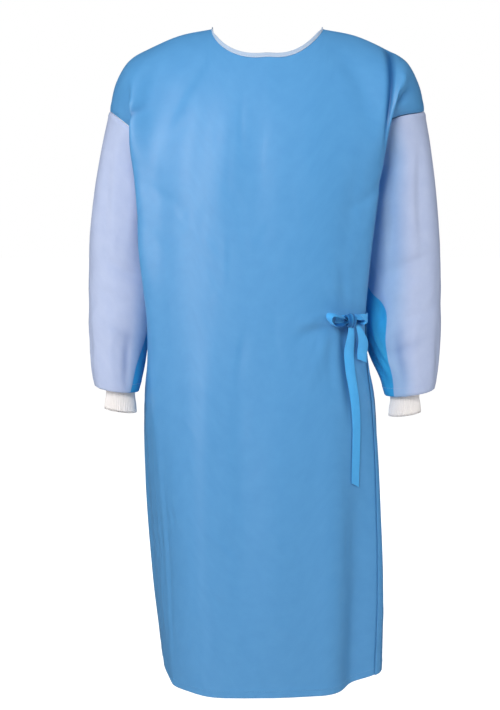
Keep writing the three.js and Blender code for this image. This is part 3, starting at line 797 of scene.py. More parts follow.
def cuff_ring(side, name, rise, spare, around):
    """A ring of the cuff's size, set off from the middle of the sleeve's end."""
    end = {key: column[-1:, None] for key, column in SLEEVE[name].items()}
    rise = np.reshape(rise, (-1, 1))
    spare = np.reshape(spare, (-1, 1))
    row = dict(end)
    row["x"] = end["x"] + CUFF_SHIFT[name]
    row["z"] = end["z"] + rise
    row["width"] = CUFF_HALF[0] + spare
    row["depth"] = CUFF_HALF[1] + spare
    return sleeve_ring(side, row, around[None, :])


def sleeve_head(side, first, second):
    """From the armhole to the first ring: a cubic that leaves straight and arrives along the sleeve."""
    oval = armhole_ring(side, AROUND)
    middle = (oval[0] + oval[SLEEVE_COLUMNS // 2]) / 2
    down = unit(first - oval) * ARMHOLE_GAP
    inward = unit(middle - oval) * UNDERARM_GAP * np.maximum(0, -np.cos(AROUND))[:, None]
    top = oval + down + inward
    chord = first - top
    length = np.linalg.norm(chord, axis=-1, keepdims=True)
    share = fine_ends(HEAD_ROWS, HEAD_RUN)[:-1, None, None]
    return hermite(top, chord, first, unit(second - first) * length, share)


def sleeve_lip(side, name, end):
    """The turned-in end: rows straight from the last ring to the cuff's, lowered by half a sine wave for
    the fold."""
    lip = cuff_ring(side, name, SLEEVE_LIP, LIP_SPARE, AROUND)[0]
    share = np.array(LIP_SHARES)[:, None, None]
    rows = mix(end, lip, share)
    rows[..., 2] -= LIP_DROP * np.sin(math.pi * np.minimum(share[..., 0] * LIP_TURN, 1))
    return rows


def sleeve_panel(name):
    """The whole sleeve as one grid, its creases pressed in or raised along its outward direction. A tube
    has no side edges, so from_start and from_end hold the height instead, the same along each row."""
    side = SIDE[name]
    heights = np.linspace(SLEEVE[name]["z"][0], SLEEVE[name]["z"][-1], SLEEVE_ROWS)
    rings = sleeve_ring(side, read_table(SLEEVE[name], heights[:, None]), AROUND[None, :])
    head = sleeve_head(side, rings[0], rings[1])
    lip = sleeve_lip(side, name, rings[-1])
    points = np.concatenate([head, rings, lip])
    head_z = np.linspace(heights[0] + HEAD_FALL, heights[0], len(head), endpoint=False)
    row_z = np.concatenate([head_z, heights, np.full(len(lip), heights[-1])])
    across = np.broadcast_to(np.degrees(AROUND) * MM_PER_DEGREE, points.shape[:2])
    z = np.broadcast_to(row_z[:, None], points.shape[:2])
    outward = grid_outward(points, closed=True) * -side
    from_top = run_lengths(points, 0)
    rows = len(points)
    on_sleeve = smoothstep(rows, rows - len(lip) - LIP_FADE, np.arange(rows))[:, None]
    creases = strokes_out(across, z, SLEEVE_CREASES[name], SLEEVE_ROUND)
    small = strokes_out(across, z, SLEEVE_CRINKLES[name], SLEEVE_ROUND)
    hem = row_z[-1] + SLEEVE_HEM
    band = BAND_RISE * smoothstep(hem + BAND_STEP, hem, z)
    roll = ROLL["rise"] * bell((from_top - ROLL["place"]) / ROLL["half"])
    seam = roll - SEAM_DRAW * bell(from_top / SEAM_REACH)
    out = (creases + small) * smoothstep(0, HEAD_FADE, from_top) * on_sleeve + band * on_sleeve + seam
    points = pushed(points, outward, out)
    # painted shade: the colour is darkened inside the sleeve's narrow troughs
    hollow = painted_trough_shade(across, z, SLEEVE_CREASES[name], SLEEVE_ROUND) * on_sleeve
    ends = from_top[-1:] - from_top
    return Panel(points, outward, across, z, z, from_top, ends, hollow)


def strip_depth(name, panel):
    """Millimetres inside the strip's edge, below zero outside it."""
    half = read_table(STRIP[name], panel.from_start)["half"]
    bearing = panel.across / MM_PER_DEGREE
    return (half - np.abs(bearing - STRIP_BEARING)) * MM_PER_DEGREE


def show_through(name, panel):
    """Painted shade and blue bounce light beside the strip, 0 to 1: a soft step in the bearing from the
    strip's middle.
    """
    strength, fades, ends = PAINTED_STRIP_SHADE[name]
    return strength * smoothstep(ends, fades, np.abs(panel.across / MM_PER_DEGREE - STRIP_BEARING))


def ring_uv(panel):
    """Metres of cloth round and down a tube, with the first column given again at the end."""
    across = np.concatenate([panel.across, np.full_like(panel.across[:, :1], SLEEVE_ROUND)], axis=1)
    return joined(across, -closed_up(panel.from_top)) * MM


def build_sleeve(name):
    """The sleeve with its strip sunk a little below it, as a piece and as its panel."""
    panel = sleeve_panel(name)
    depth = strip_depth(name, panel)
    sunk = STRIP_SINK * smoothstep(-1, 1, depth)
    lapped = panel._replace(points=pushed(panel.points, panel.outward, -sunk))
    piece = add_grid(
        f"sleeve_{name}_cloth",
        lapped.points,
        ring_uv(panel),
        closed=True,
        flip=SIDE[name] > 0,
        strip_depth=depth,
        # painted shade and blue bounce light beside the strip, and painted shade in the narrow troughs
        show_through=show_through(name, panel),
        hollow=panel.hollow,
    )
    return give_wall(piece, SHELL), lapped


def build_cuff(name):
    """A rib-knit tube. The ribs are a cosine round the ring, broadened by a power. The tube is drawn in
    by a bell in height and flares to its free edge, which waves in and out three times."""
    side = SIDE[name]
    around = np.linspace(0, 2 * math.pi, CUFF_RIBS * RIB_COLUMNS, endpoint=False)
    down = fine_ends(CUFF_ROWS, CUFF_VISIBLE + CUFF_TUCKED)
    rise = mix(CUFF_TUCKED, -CUFF_VISIBLE, down)
    flare, flare_from = CUFF_FLARE
    drawn, waist, waist_half = CUFF_WAIST
    spare = flare * smoothstep(flare_from, 1, down) - drawn * bell((down - waist) / waist_half)
    rings = cuff_ring(side, name, rise, spare, around)
    outward = grid_outward(rings, closed=True) * -side
    wave = np.cos(CUFF_RIBS * around)
    ribs = RIB_DEPTH * signed_power(wave, RIB_ROUND)[None, :] * smoothstep(0, 0.08, down)[:, None]
    slack = CUFF_SLACK * np.sin(3 * around + 1) * smoothstep(0.5, 1, down)[:, None]
    points = pushed(rings, outward, ribs - RIB_DEPTH + slack)
    circle = np.linspace(0, 2 * math.pi * CUFF_HALF[0], len(around) + 1)
    uv = joined(circle[None, :], rise[:, None]) * MM
    piece = add_grid(f"cuff_{name}_knit", points, uv, closed=True, flip=side > 0)
    return give_wall(piece, KNIT_WALL)


# Creases of a sleeve, in mm round it (0 outside, 95 front, 191 inside, 286 back) and in height
SLEEVE_CREASES = {
    "right": (
        (58, -190, 76, -450, 12, -3.2, 5, 0.2),
        (100, -200, 112, -430, 12, 2.6, -5, 0.0),
        (146, -240, 134, -450, 10, -3.4, 4, 0.2),
        (36, -388, 160, -446, 9, -1.8, 10, 0.2),
        (50, -424, 168, -470, 8, 1.2, 9, 0),
        (24, -468, 150, -508, 9, -1.5, -10, 0.2),
        (60, -520, 170, -556, 8, -1.1, 8, 0.1),
        (82, -500, 96, -660, 10, 2.4, 4, 0.0),
        (118, -520, 128, -660, 8, -2.8, 3, 0.2),
        (34, -510, 26, -660, 9, -2.4, 3, 0.1),
        (226, -380, 340, -436, 11, -1.8, 10, 0.2),
        (220, -436, 352, -474, 10, -1.6, -9, 0.2),
        (250, -410, 330, -456, 9, 1.2, 8, 0),
        (290, -200, 300, -420, 13, -3.2, 6, 0.2),
        (330, -190, 346, -400, 12, 2.8, -5, 0.0),
        (300, -500, 310, -660, 10, -3.0, 4, 0.2),
        (340, -510, 350, -660, 9, 2.4, 3, 0.0),
    ),
    "left": (
        (166, -500, 124, -622, 4, 4.2, 0, 0.0),
        (146, -462, 142, -548, 9, -5.0, 2, 0.0),
        (186, -520, 150, -650, 8, -3.0, 0, 0.0),
        (64, -190, 70, -440, 12, -3.4, -5, 0.2),
        (96, -196, 92, -470, 13, 3.2, 5, 0.0),
        (132, -230, 124, -480, 11, -4.0, 5, 0.2),
        (30, -402, 150, -452, 9, -1.7, -9, 0.2),
        (48, -440, 160, -484, 8, 1.2, 8, 0),
        (20, -484, 140, -520, 9, -1.4, 10, 0.2),
        (56, -548, 150, -580, 8, -1, 7, 0.1),
        (78, -500, 84, -664, 10, 2.6, -4, 0.0),
        (110, -510, 118, -664, 8, -2.8, 3, 0.2),
        (36, -520, 30, -664, 9, -2.4, 3, 0.1),
        (232, -392, 344, -440, 11, -1.8, 10, 0.2),
        (224, -446, 350, -486, 10, -1.6, -9, 0.2),
        (246, -420, 326, -462, 9, 1.2, 8, 0),
        (286, -200, 296, -430, 13, -3.2, 6, 0.2),
        (328, -190, 340, -410, 12, 2.8, -5, 0.0),
        (304, -510, 312, -664, 10, -3.0, 4, 0.2),
        (344, -520, 352, -664, 9, 2.4, 3, 0.0),
    ),
}
SLEEVE_CRINKLE_SEEDS = {"right": 21, "left": 22}
SLEEVE_CRINKLES = {
    name: crinkles(seed, 110, (0, 381), (-640, -230)) for name, seed in SLEEVE_CRINKLE_SEEDS.items()
}


# Neck binding and tab

BINDING_LEAN = (0.35, 0.3)  # how far it leans to the neck's middle as it rises: across, front to back
BINDING_BEND = (-1.5, 2.5)  # heights between which it bends from the cloth's way up to its own
BINDING_SEAM = 3  # the point of the outline that the stitches follow
OUTLINE_CLOSES = 3  # cloth from the outline's last point to its first
TIP_RISE = 0.5  # the share of the tape's height that is left at the shoulder points
TIP_FROM = 0.9  # share of the way out to those points where it starts to sink
NECK_STEPS = {"front": 90, "back": 60}
NECK_TAB = {"turns": (164, 177), "levels": (0.05, 0.15), "wall": 1.0, "lift": 1.2}
TAB_ROUND = (0.22, 0.86)  # how much its ends are narrowed, and where that starts
TAB_STITCHED = (3, -4)  # columns of the tab that are stitched down
# The folded tape's outline, from inside the outer leg round over the top: up from the cloth's edge, and out
BINDING_OUTLINE = (
    *((-2.6, 0.25), (-2.7, 0.65), (-2.4, 1.0), (-1.0, 1.1), (1.0, 1.1), (3.0, 1.1)),
    *((5.0, 1.0), (6.0, 0.6), (6.3, -0.2), (6.0, -1.0), (5.0, -1.6), (3.0, -1.9)),
    *((1.0, -2.1), (-1.0, -2.2), (-2.4, -2.1), (-2.7, -1.75), (-2.6, -1.35)),
    *((-1.0, -1.3), (0.4, -1.1), (0.7, -0.5), (0.4, 0.1), (-1.0, 0.25)),
)


def neckline():
    """The neckline from the wrap's free corner by the right shoulder, the front and the left shoulder to
    the under panel's free corner: points, ways down the cloth, outward, and up along the tape."""
    wrap_corner = (180 - WRAP_EDGE["turn"][0]) / 90
    under_corner = (180 - UNDER_EDGE["turn"][0]) / 90
    stretches = (
        ("back", np.linspace(wrap_corner, -NECK_SHARE, NECK_STEPS["back"])[:-1], wrap_lift),
        ("front", np.linspace(-NECK_SHARE, NECK_SHARE, NECK_STEPS["front"]), None),
        ("back", np.linspace(NECK_SHARE, under_corner, NECK_STEPS["back"])[1:], None),
    )
    parts = [neck_stretch(face, place, lift) for face, place, lift in stretches]
    return [np.concatenate(column) for column in zip(*parts)]


def neck_stretch(face, place, lift):
    """One stretch of the neckline. The way up leans to the neck's middle, by sin(a) across and by cos(a)
    from the front or the back."""
    turn = turn_at(place, face)
    top = np.zeros_like(turn)
    outward = body_outward(turn, top, face)
    edge = body_point(turn, top, face)
    down = unit(body_point(turn, top + 0.02, face) - edge)
    if lift is not None:
        edge = pushed(edge, outward, lift(turn, top))
    around = np.abs(place) / NECK_SHARE * (math.pi / 2)
    ahead = 1 if face == "front" else -1
    inward = -np.sign(place) * BINDING_LEAN[0] * np.sin(around)
    back = ahead * BINDING_LEAN[1] * np.cos(around)
    up = unit(joined(inward, back, 1.0))
    return edge, down, outward, up


def build_binding():
    """A folded tape: its outline carried along the neckline. Below the cloth's edge the outline follows
    the cloth, and above the edge it follows the tape's own way up."""
    edge, down, outward, up = neckline()
    rise, out = np.array(BINDING_OUTLINE).T
    beside = np.abs(edge[:, 0]) / np.abs(edge[:, 0]).max()
    height = np.where(rise > 0, rise * mix(1, TIP_RISE, smoothstep(TIP_FROM, 1, beside))[:, None], rise)
    upright = unit(outward - up * np.sum(outward * up, axis=-1, keepdims=True))
    bend = smoothstep(*BINDING_BEND, rise)[None, :, None]
    lower = edge[:, None] - down[:, None] * height[..., None] + outward[:, None] * out[None, :, None]
    upper = edge[:, None] + up[:, None] * height[..., None] + upright[:, None] * out[None, :, None]
    points = mix(lower, upper, bend)
    along = path_lengths(edge)
    girth = path_lengths(np.array(BINDING_OUTLINE))
    girth = np.append(girth, girth[-1] + OUTLINE_CLOSES)
    uv = joined(girth[None, :], along[:, None]) * MM
    rows, columns = points.shape[:2]
    faces = grid_faces(rows, columns, closed=True).reshape(-1, 4)[:, ::-1]
    caps = [list(range(columns)), list(range(rows * columns - 1, (rows - 1) * columns - 1, -1))]
    corners = corner_values(uv).reshape(-1, 4, 2)[:, ::-1].reshape(-1, 2)
    cap_uv = np.concatenate([uv[0, :-1], uv[-1, :-1]])
    piece = add_mesh("neck_binding_tape", points, faces.tolist() + caps, np.concatenate([corners, cap_uv]))
    return piece, points[:, BINDING_SEAM], outward


def strip_uv(points):
    """Metres of cloth along and down a grid of points."""
    return joined(run_lengths(points, 1), -run_lengths(points, 0)) * MM


def build_tab():
    """A tape tab across the wrap's free edge: a patch of the body's surface lifted clear, with round
    corners made by narrowing its ends."""
    turns = mix(*NECK_TAB["turns"], fine_ends(20, 30))
    levels = mix(*NECK_TAB["levels"], fine_ends(10, 30))
    middle = np.mean(NECK_TAB["levels"])
    ends = np.abs(np.linspace(-1, 1, len(turns)))
    narrow = 1 - TAB_ROUND[0] * smoothstep(TAB_ROUND[1], 1.0, ends)
    level = middle + (levels[:, None] - middle) * narrow[None, :]
    turn = np.broadcast_to(turns[None, :], level.shape)
    outward = body_outward(turn, level, "back")
    lift = CLOTH + LAP_GAP + SEAM_GAP + NECK_TAB["lift"]
    points = pushed(body_point(turn, level, "back"), outward, lift)
    piece = add_grid("neck_tab_tape", points, strip_uv(points))
    return give_wall(piece, NECK_TAB["wall"]), points, outward


# The ties and their bow

STRAP_WIDTH = 18
STRAP_WALL = 1.0
STRAP_SOLID = 1.2  # wall of a strap in the solid model
STRAP_SHARES = np.array([-0.5, -0.46, -0.38, -0.2, 0.0, 0.2, 0.38, 0.46, 0.5])  # columns across a strap
STRAP_ROLL = 0.5  # how far the edges of a laid strap roll under
FACET_SPARE = 1.1  # room for the solid model's flat facets beneath a strap
KNOT = {"turn": 42, "z": -515, "width": 17, "height": 24, "depth": 19, "stands": 14.5}
FRONT_TIE_END = 33  # turns at which the two ties are stitched down
WRAP_TIE_END = 86
WRAP_TIE_EASE = 18  # degrees before its end where the wrap's tie has come down to the cloth
STRAP_PART = 0.2  # half the gap between the two ties under the knot, in degrees
# Loops of the bow: reach along the waist, rise, droop, lean of the strap's width in degrees
LOOPS = {"right": (46, 13, 7, 16), "left": (-28, 8, 1, 28)}
LOOP_ROWS = 72
LOOP_TUCK = 3  # how far a loop reaches into the knot
LOOP_GATHER = 0.42  # share of the strap's width that is left at the knot
LOOP_CUP = 2.6  # how far the strap's edges curl in
LOOP_PLEATS = (1.1, 14)  # depth of the pleats beside the knot, and radians of them for a strap's width
LOOP_APART = 0.9  # half the gap between a loop's two ends
# Tails: place beside the knot, sway, length, layer, how far the cut end slants, and how far the outer
# edge is turned up
TAILS = {"right": (4, 7, 285, 0.0, 5, 0), "left": (28, 2, 62, 2.0, 4, 5)}
TAIL_ROW = 4  # height of a row
TAIL_TUCK = 4  # how far a tail reaches up behind the knot
TAIL_FALL = 60  # length over which a tail falls from the knot to the cloth
TAIL_PART = 40  # and over which the two tails part
TAIL_WAVE = (2.4, 41)  # sideways wave, and the length of a radian of it
TAIL_WAVE_GROWS = (30, 110)  # lengths at which the wave starts and is full
TAIL_GATHER = (0.62, 46)  # share of the width that is left at the knot, and the length until it is whole
TAIL_RIDGE = (1.8, 120)  # how far the middle stands up, and the length over which it flattens
TAIL_TURN = 30  # length over which the outer edge turns up
KNOT_GRID = (25, 72)  # columns across the knot and points round it
KNOT_TURNED = ((0.62, 0.5), (0.86, 0.66))  # turned-in ends: shares of the half width and of the radius
KNOT_WAIST = 0.24  # how much slimmer the band is at its ends
KNOT_PLEAT = (0.045, 7.5)  # depth of the pleats as a share of the radius, and radians for the half width
KNOT_WALL = 0.8


def level_at(turn, z):
    """The level at which the skirt has a height."""
    chest = chest_at(turn)
    return 1 + (z - chest) / (hem_at(turn) - chest)


def on_skirt(turn, z, lift):
    """A point of the skirt with its creases, lifted off it, and the outward direction there."""
    turn, z, lift = np.broadcast_arrays(*(np.asarray(values, float) for values in (turn, z, lift)))
    level = level_at(turn, z)
    outward = body_outward(turn, level, "front")
    out = lift + crease_depth(arc_of(turn), z)
    return pushed(body_point(turn, level, "front"), outward, out), outward


def build_strap(name, turns, lift):
    """A strap along the waist: a band of the body's surface, lifted off it, its edges rolled under by the
    fourth power of the way across."""
    z = KNOT["z"] - STRAP_SHARES * STRAP_WIDTH
    roll = STRAP_ROLL * (2 * STRAP_SHARES) ** 4
    points, _ = on_skirt(turns[None, :], z[:, None], lift(turns)[None, :] - roll[:, None])
    return give_wall(add_grid(name, points, strip_uv(points)), STRAP_WALL)


def build_tail(name, across, sway, length, layer, slant, turned):
    """A tail from under the knot down the front, with a slanted cut end. Its middle is a soft step beside
    the knot, an even sway and a growing sine wave. Across it a parabola stands up and flattens on the way
    down, and one edge is turned up by an even slope."""
    at_knot, _ = on_skirt(np.array([KNOT["turn"] - 0.5, KNOT["turn"] + 0.5]), KNOT["z"], 0)
    per_degree = np.linalg.norm(at_knot[1] - at_knot[0])
    share = fine_ends(int(length / TAIL_ROW), length)[:, None]
    fallen = share * length
    resting = SEAM_GAP + FACET_SPARE + STRAP_SOLID
    lift = layer + mix(KNOT["stands"], resting, smoothstep(0, TAIL_FALL, fallen))
    wave = TAIL_WAVE[0] * np.sin(fallen / TAIL_WAVE[1] + across) * smoothstep(*TAIL_WAVE_GROWS, fallen)
    middle = across * smoothstep(-TAIL_PART, TAIL_PART, fallen) + sway * share + wave
    narrow = mix(TAIL_GATHER[0], 1, smoothstep(0, TAIL_GATHER[1], fallen))
    edge = STRAP_SHARES[None, :] * STRAP_WIDTH * narrow
    turn = KNOT["turn"] + (middle + edge) / per_degree
    ridge = TAIL_RIDGE[0] * (1 - (2 * STRAP_SHARES) ** 2)[None, :] * smoothstep(TAIL_RIDGE[1], 0, fallen)
    ridge = ridge + turned * (0.5 + STRAP_SHARES[None, :]) * smoothstep(0, TAIL_TURN, fallen)
    top = KNOT["z"] - KNOT["height"] / 2 + TAIL_TUCK
    z = top - share * (length + TAIL_TUCK + slant * 2 * STRAP_SHARES[None, :] * share)
    points, _ = on_skirt(turn, z, lift + ridge)
    return give_wall(add_grid(f"tie_tail_{name}_strap", points, strip_uv(points)), STRAP_WALL)


def bow_frame():
    """The bow's origin on the front, its own X along the waist to the wearer's right, and outward."""
    base, outward = on_skirt(KNOT["turn"], KNOT["z"], 0)
    outward = unit(outward * [1, 1, 0])
    along = np.array([outward[1], -outward[0], 0])
    return base + outward * KNOT["stands"], along, outward


def bow_points(local):
    """Points given along the waist, outward and up, put in the bow's place."""
    origin, along, outward = bow_frame()
    return (
        origin
        + local[..., :1] * along
        + local[..., 1:2] * outward
        + local[..., 2:] * np.array([0, 0, 1.0])
    )


def build_loop(name, reach, rise, droop, lean):
    """A loop of strap: a teardrop from the knot out and back, gathered and pleated at the knot. With a
    going once round and out = (1 - cos a) / 2, it reaches out^0.85 and rises by sin a out^0.3. Painted
    shade darkens it inside and near the knot, most on its lower strap."""
    around = np.linspace(0, 2 * math.pi, LOOP_ROWS + 1)[:, None]
    out = (1 - np.cos(around)) / 2
    start = math.copysign(KNOT["width"] / 2 - LOOP_TUCK, reach)
    gathered = mix(LOOP_GATHER, 1, smoothstep(0.02, 0.55, out))
    across = STRAP_SHARES[None, :]
    edge = across * STRAP_WIDTH * gathered
    cup = LOOP_CUP * (2 * across) ** 2 * np.sin(around) * gathered
    pleat = LOOP_PLEATS[0] * np.cos(across * LOOP_PLEATS[1]) * (1 - smoothstep(0.1, 0.6, out))
    x = mix(start, reach, out ** 0.85)
    y = edge * math.cos(math.radians(lean)) + pleat
    lifted = rise * np.sin(around) * out ** 0.3 + LOOP_APART * np.cos(around / 2)
    z = lifted + droop * out * out - edge * math.sin(math.radians(lean)) - cup
    points = bow_points(joined(x, y, z))
    # painted shade: darker inside the loop, near the knot and on its lower strap
    hollow = smoothstep(0.98, 0.5, out) * (0.72 - 0.28 * np.sin(around))
    hollow = np.broadcast_to(hollow, points.shape[:2])
    piece = add_grid(f"bow_loop_{name}_strap", points, strip_uv(points), flip=reach < 0, hollow=hollow)
    return give_wall(piece, STRAP_WALL)


def build_knot():
    """The band round the bow's waist: a short barrel with turned-in ends. Its radius waves along it for
    the pleats, and twice round it for a slight twist. Painted shade darkens all of it, most in the pleats
    and at the ends."""
    columns, sides = KNOT_GRID
    ends, shares = np.array(KNOT_TURNED).T
    across = np.concatenate([-ends, np.linspace(-1, 1, columns), ends[::-1]])[:, None]
    turned = np.concatenate([shares, np.zeros(columns), shares[::-1]])[:, None]
    around = np.linspace(0, 2 * math.pi, sides, endpoint=False)[None, :]
    swell = np.where(turned > 0, turned, 1 - KNOT_WAIST * np.abs(across) ** 3)
    pleat = KNOT_PLEAT[0] * np.sin(KNOT_PLEAT[1] * across + 1.4 * np.sin(around))
    twist = 0.05 * np.sin(2 * around + 3 * across)
    radius = swell * (0.95 + pleat + twist)
    x = across * KNOT["width"] / 2 + 1.2 * np.sin(around)
    y = radius * KNOT["depth"] / 2 * np.cos(around)
    z = radius * KNOT["height"] / 2 * np.sin(around)
    points = bow_points(joined(x, y, z))
    # painted shade: dark all over, darkest in the pleats and at the ends
    hollow = np.clip(0.85 - 7 * pleat + 0.3 * np.abs(across), 0, 1)
    piece = add_grid("tie_knot_band", points, strip_uv(closed_up(points)), closed=True, hollow=hollow)
    return give_wall(piece, KNOT_WALL)


# Stitches

STITCH = {"length": 3.1, "pitch": 4.3, "radius": 0.26, "arch": 0.34, "sunk": 0.12, "rings": 5}
STITCH_CORNERS = np.radians([45, 135, 225, 315])
STITCH_IN = 2.5  # stitches stand this far inside the edge of a turned band


def resampled(path, spacing):
    """A path's places at even lengths along it, as shares of its points."""
    length = path_lengths(path)
    marks = np.arange(0, length[-1] - spacing, spacing)
    return np.interp(marks, length, np.arange(len(path)))


def at_places(values, places):
    """Values on a path's points, read between the points."""
    index = np.arange(len(values))
    return np.stack([np.interp(places, index, column) for column in values.T], axis=-1)


def stitch_row(path, outward):
    """A row of thread stitches on a path: small four-sided tubes, each arched by half a sine wave so that
    it dives in at both ends."""
    starts = resampled(path, STITCH["pitch"])
    reach = STITCH["length"] / path_lengths(path)[-1] * (len(path) - 1)
    begin = at_places(path, starts)
    finish = at_places(path, np.minimum(starts + reach, len(path) - 1))
    normal = unit(at_places(outward, starts))
    side = unit(np.cross(unit(finish - begin), normal))
    share = np.linspace(0, 1, STITCH["rings"])
    rise = STITCH["arch"] * np.sin(math.pi * share) - STITCH["sunk"]
    centre = mix(begin[:, None], finish[:, None], share[None, :, None])
    centre = centre + normal[:, None] * rise[None, :, None]
    spread = side[:, None, None] * np.cos(STITCH_CORNERS)[:, None]
    spread = spread + normal[:, None, None] * np.sin(STITCH_CORNERS)[:, None]
    return centre[:, :, None] + spread * STITCH["radius"]


def build_stitches(name, rows):
    """All the stitches of one kind as one mesh. Each is a grid of rings with closed ends."""
    tubes = np.concatenate([stitch_row(path, outward) for path, outward in rows])
    count, rings, sides = tubes.shape[:3]
    one = grid_faces(rings, sides, closed=True).reshape(-1, 4)
    first = np.arange(sides)
    last = np.arange(rings * sides - 1, (rings - 1) * sides - 1, -1)
    one = np.concatenate([one, [first, last]])
    faces = one[None] + (np.arange(count) * rings * sides)[:, None, None]
    return add_mesh(name, tubes, faces.reshape(-1, 4).tolist())


# Materials

CLOUDS = 38.0  # thick and thin places of the nonwoven's web, for a metre
BONDS = 720.0  # pressed points of the nonwoven, for a metre
FIBRES = 1100.0  # fibres, for a metre, and how much they are drawn out
FIBRE_DRAWN = 0.22
BOND_EDGE = (0.16, 0.36)  # where a pressed point's edge begins and ends, as a share of their spacing
BOND_SHADE = 0.975  # colour that is left in a pressed point
NONWOVEN_ROUGH = (0.43, 0.48)
NONWOVEN_BUMP = {"Strength": 0.12, "Distance": 0.0003}
PAINTED_SHADE_STRENGTH = 0.85  # the largest share of the painted shade colour that is mixed in
YARN_ROUGH = (0.95, 0.8)
YARN_BUMP = 0.5
PLIES = 900.0  # turns of a thread's plies


def colour(red, green, blue):
    """A colour as seen on screen, 0 to 255, as linear light."""
    seen = np.array([red, green, blue]) / 255
    linear = np.where(seen > 0.04045, ((seen + 0.055) / 1.055) ** 2.4, seen / 12.92)
    return (*linear.tolist(), 1.0)


def feed(tree, socket, value):
    """Sets a socket to a number or a colour, or links it to another node's output."""
    if isinstance(value, bpy.types.NodeSocket):
        tree.links.new(value, socket)
    else:
        socket.default_value = value


def feed_all(tree, node, inputs):
    """Sets or links a node's sockets by their names or numbers."""
    for key, value in inputs.items():
        feed(tree, node.inputs[key], value)


def put(tree, kind, inputs=None, **settings):
    """A node with its settings and inputs."""
    node = tree.nodes.new(kind)
    for key, value in settings.items():
        setattr(node, key, value)
    feed_all(tree, node, inputs or {})
    return node


def shader_group(name, inputs, outputs):
    """An empty node group with named sockets, and its own input and output sockets."""
    tree = bpy.data.node_groups.new(name, "ShaderNodeTree")
    for label, kind, value in inputs:
        socket = tree.interface.new_socket(label, in_out="INPUT", socket_type=kind)
        socket.default_value = value
    for label, kind in outputs:
        tree.interface.new_socket(label, in_out="OUTPUT", socket_type=kind)
    return tree, tree.nodes.new("NodeGroupInput").outputs, tree.nodes.new("NodeGroupOutput").inputs


def fibre_web_group():
    """Bonded fibres: broad clouds where the web is thicker, and fine stretched fibres."""
    tree, given, result = shader_group(
        "fibre_web",
        [("Cloth", "NodeSocketVector", (0, 0, 0)), ("Cloud Scale", "NodeSocketFloat", 60.0)],
        [("Cloud", "NodeSocketFloat"), ("Fibre", "NodeSocketFloat")],
    )
    clouds = {"Vector": given["Cloth"], "Scale": given["Cloud Scale"], "Detail": 4.0, "Roughness": 0.62}
    cloud = put(tree, "ShaderNodeTexNoise", clouds)
    drawn = put(tree, "ShaderNodeMapping", {"Vector": given["Cloth"], "Scale": (1.0, FIBRE_DRAWN, 1.0)})
    fibres = {"Vector": drawn.outputs[0], "Scale": FIBRES, "Detail": 2.0}
    fibre = put(tree, "ShaderNodeTexNoise", fibres)
    tree.links.new(cloud.outputs[0], result["Cloud"])
    tree.links.new(fibre.outputs[0], result["Fibre"])
    return tree


def flat_cells(tree, place, scale, randomness):
    """The distance to the nearest of many points, spread over the cloth."""
    inputs = {"Vector": place, "Scale": scale, "Randomness": randomness}
    return put(tree, "ShaderNodeTexVoronoi", inputs, voronoi_dimensions="2D").outputs["Distance"]


def bond_points_group():
    """The staggered points where rollers press the fibres together: 0 in a point and 1 between them."""
    tree, given, result = shader_group(
        "bond_points",
        [("Cloth", "NodeSocketVector", (0, 0, 0)), ("Per Metre", "NodeSocketFloat", 420.0)],
        [("Height", "NodeSocketFloat")],
    )
    slanted = {"Vector": given["Cloth"], "Rotation": (0, 0, math.radians(45))}
    turned = put(tree, "ShaderNodeMapping", slanted)
    edge = {
        "Value": flat_cells(tree, turned.outputs[0], given["Per Metre"], 0.4),
        "From Min": BOND_EDGE[0],
        "From Max": BOND_EDGE[1],
    }
    height = put(tree, "ShaderNodeMapRange", edge, interpolation_type="SMOOTHSTEP")
    tree.links.new(height.outputs[0], result["Height"])
    return tree


FIBRE_WEB = fibre_web_group()
BOND_POINTS = bond_points_group()


def group_node(tree, group, inputs):
    """A shared node group placed in a material with its own values."""
    return put(tree, "ShaderNodeGroup", inputs, node_tree=group)


def new_material(name):
    """A material with its tree and its Principled shader."""
    material = bpy.data.materials.new(name)
    material.use_nodes = True
    return material, material.node_tree, material.node_tree.nodes["Principled BSDF"]


def cloth_map(tree):
    """The piece's own UV map, in metres of cloth."""
    return put(tree, "ShaderNodeUVMap", uv_map="cloth").outputs[0]


def point_value(tree, name):
    """A value that is stored on a piece's points."""
    return put(tree, "ShaderNodeAttribute", attribute_name=name).outputs["Fac"]


def mixed(tree, first, second, share, blend="MIX"):
    """One colour mixed into another by a share."""
    node = put(tree, "ShaderNodeMix", data_type="RGBA", blend_type=blend)
    sockets = {socket.identifier: socket for socket in node.inputs}
    for key, value in (("A_Color", first), ("B_Color", second), ("Factor_Float", share)):
        feed(tree, sockets[key], value)
    return next(socket for socket in node.outputs if socket.identifier == "Result_Color")


def ranged(tree, value, low, high, from_low=0.0, from_high=1.0):
    """A value carried from one range to another."""
    limits = {"From Min": from_low, "From Max": from_high, "To Min": low, "To Max": high}
    return put(tree, "ShaderNodeMapRange", {"Value": value, **limits}).outputs[0]


def strip_mask(tree):
    """1 inside the strip's edge, and beside it the painted shade and blue bounce light that mix the strip's
    colour into the sleeve.
    """
    inside = ranged(tree, point_value(tree, "strip_depth"), 0.0, 1.0, -0.5, 0.5)
    # painted shade beside the strip: the strip's colour mixed into the sleeve there
    either = {0: inside, 1: point_value(tree, "show_through")}
    return put(tree, "ShaderNodeMath", either, operation="MAXIMUM").outputs[0]


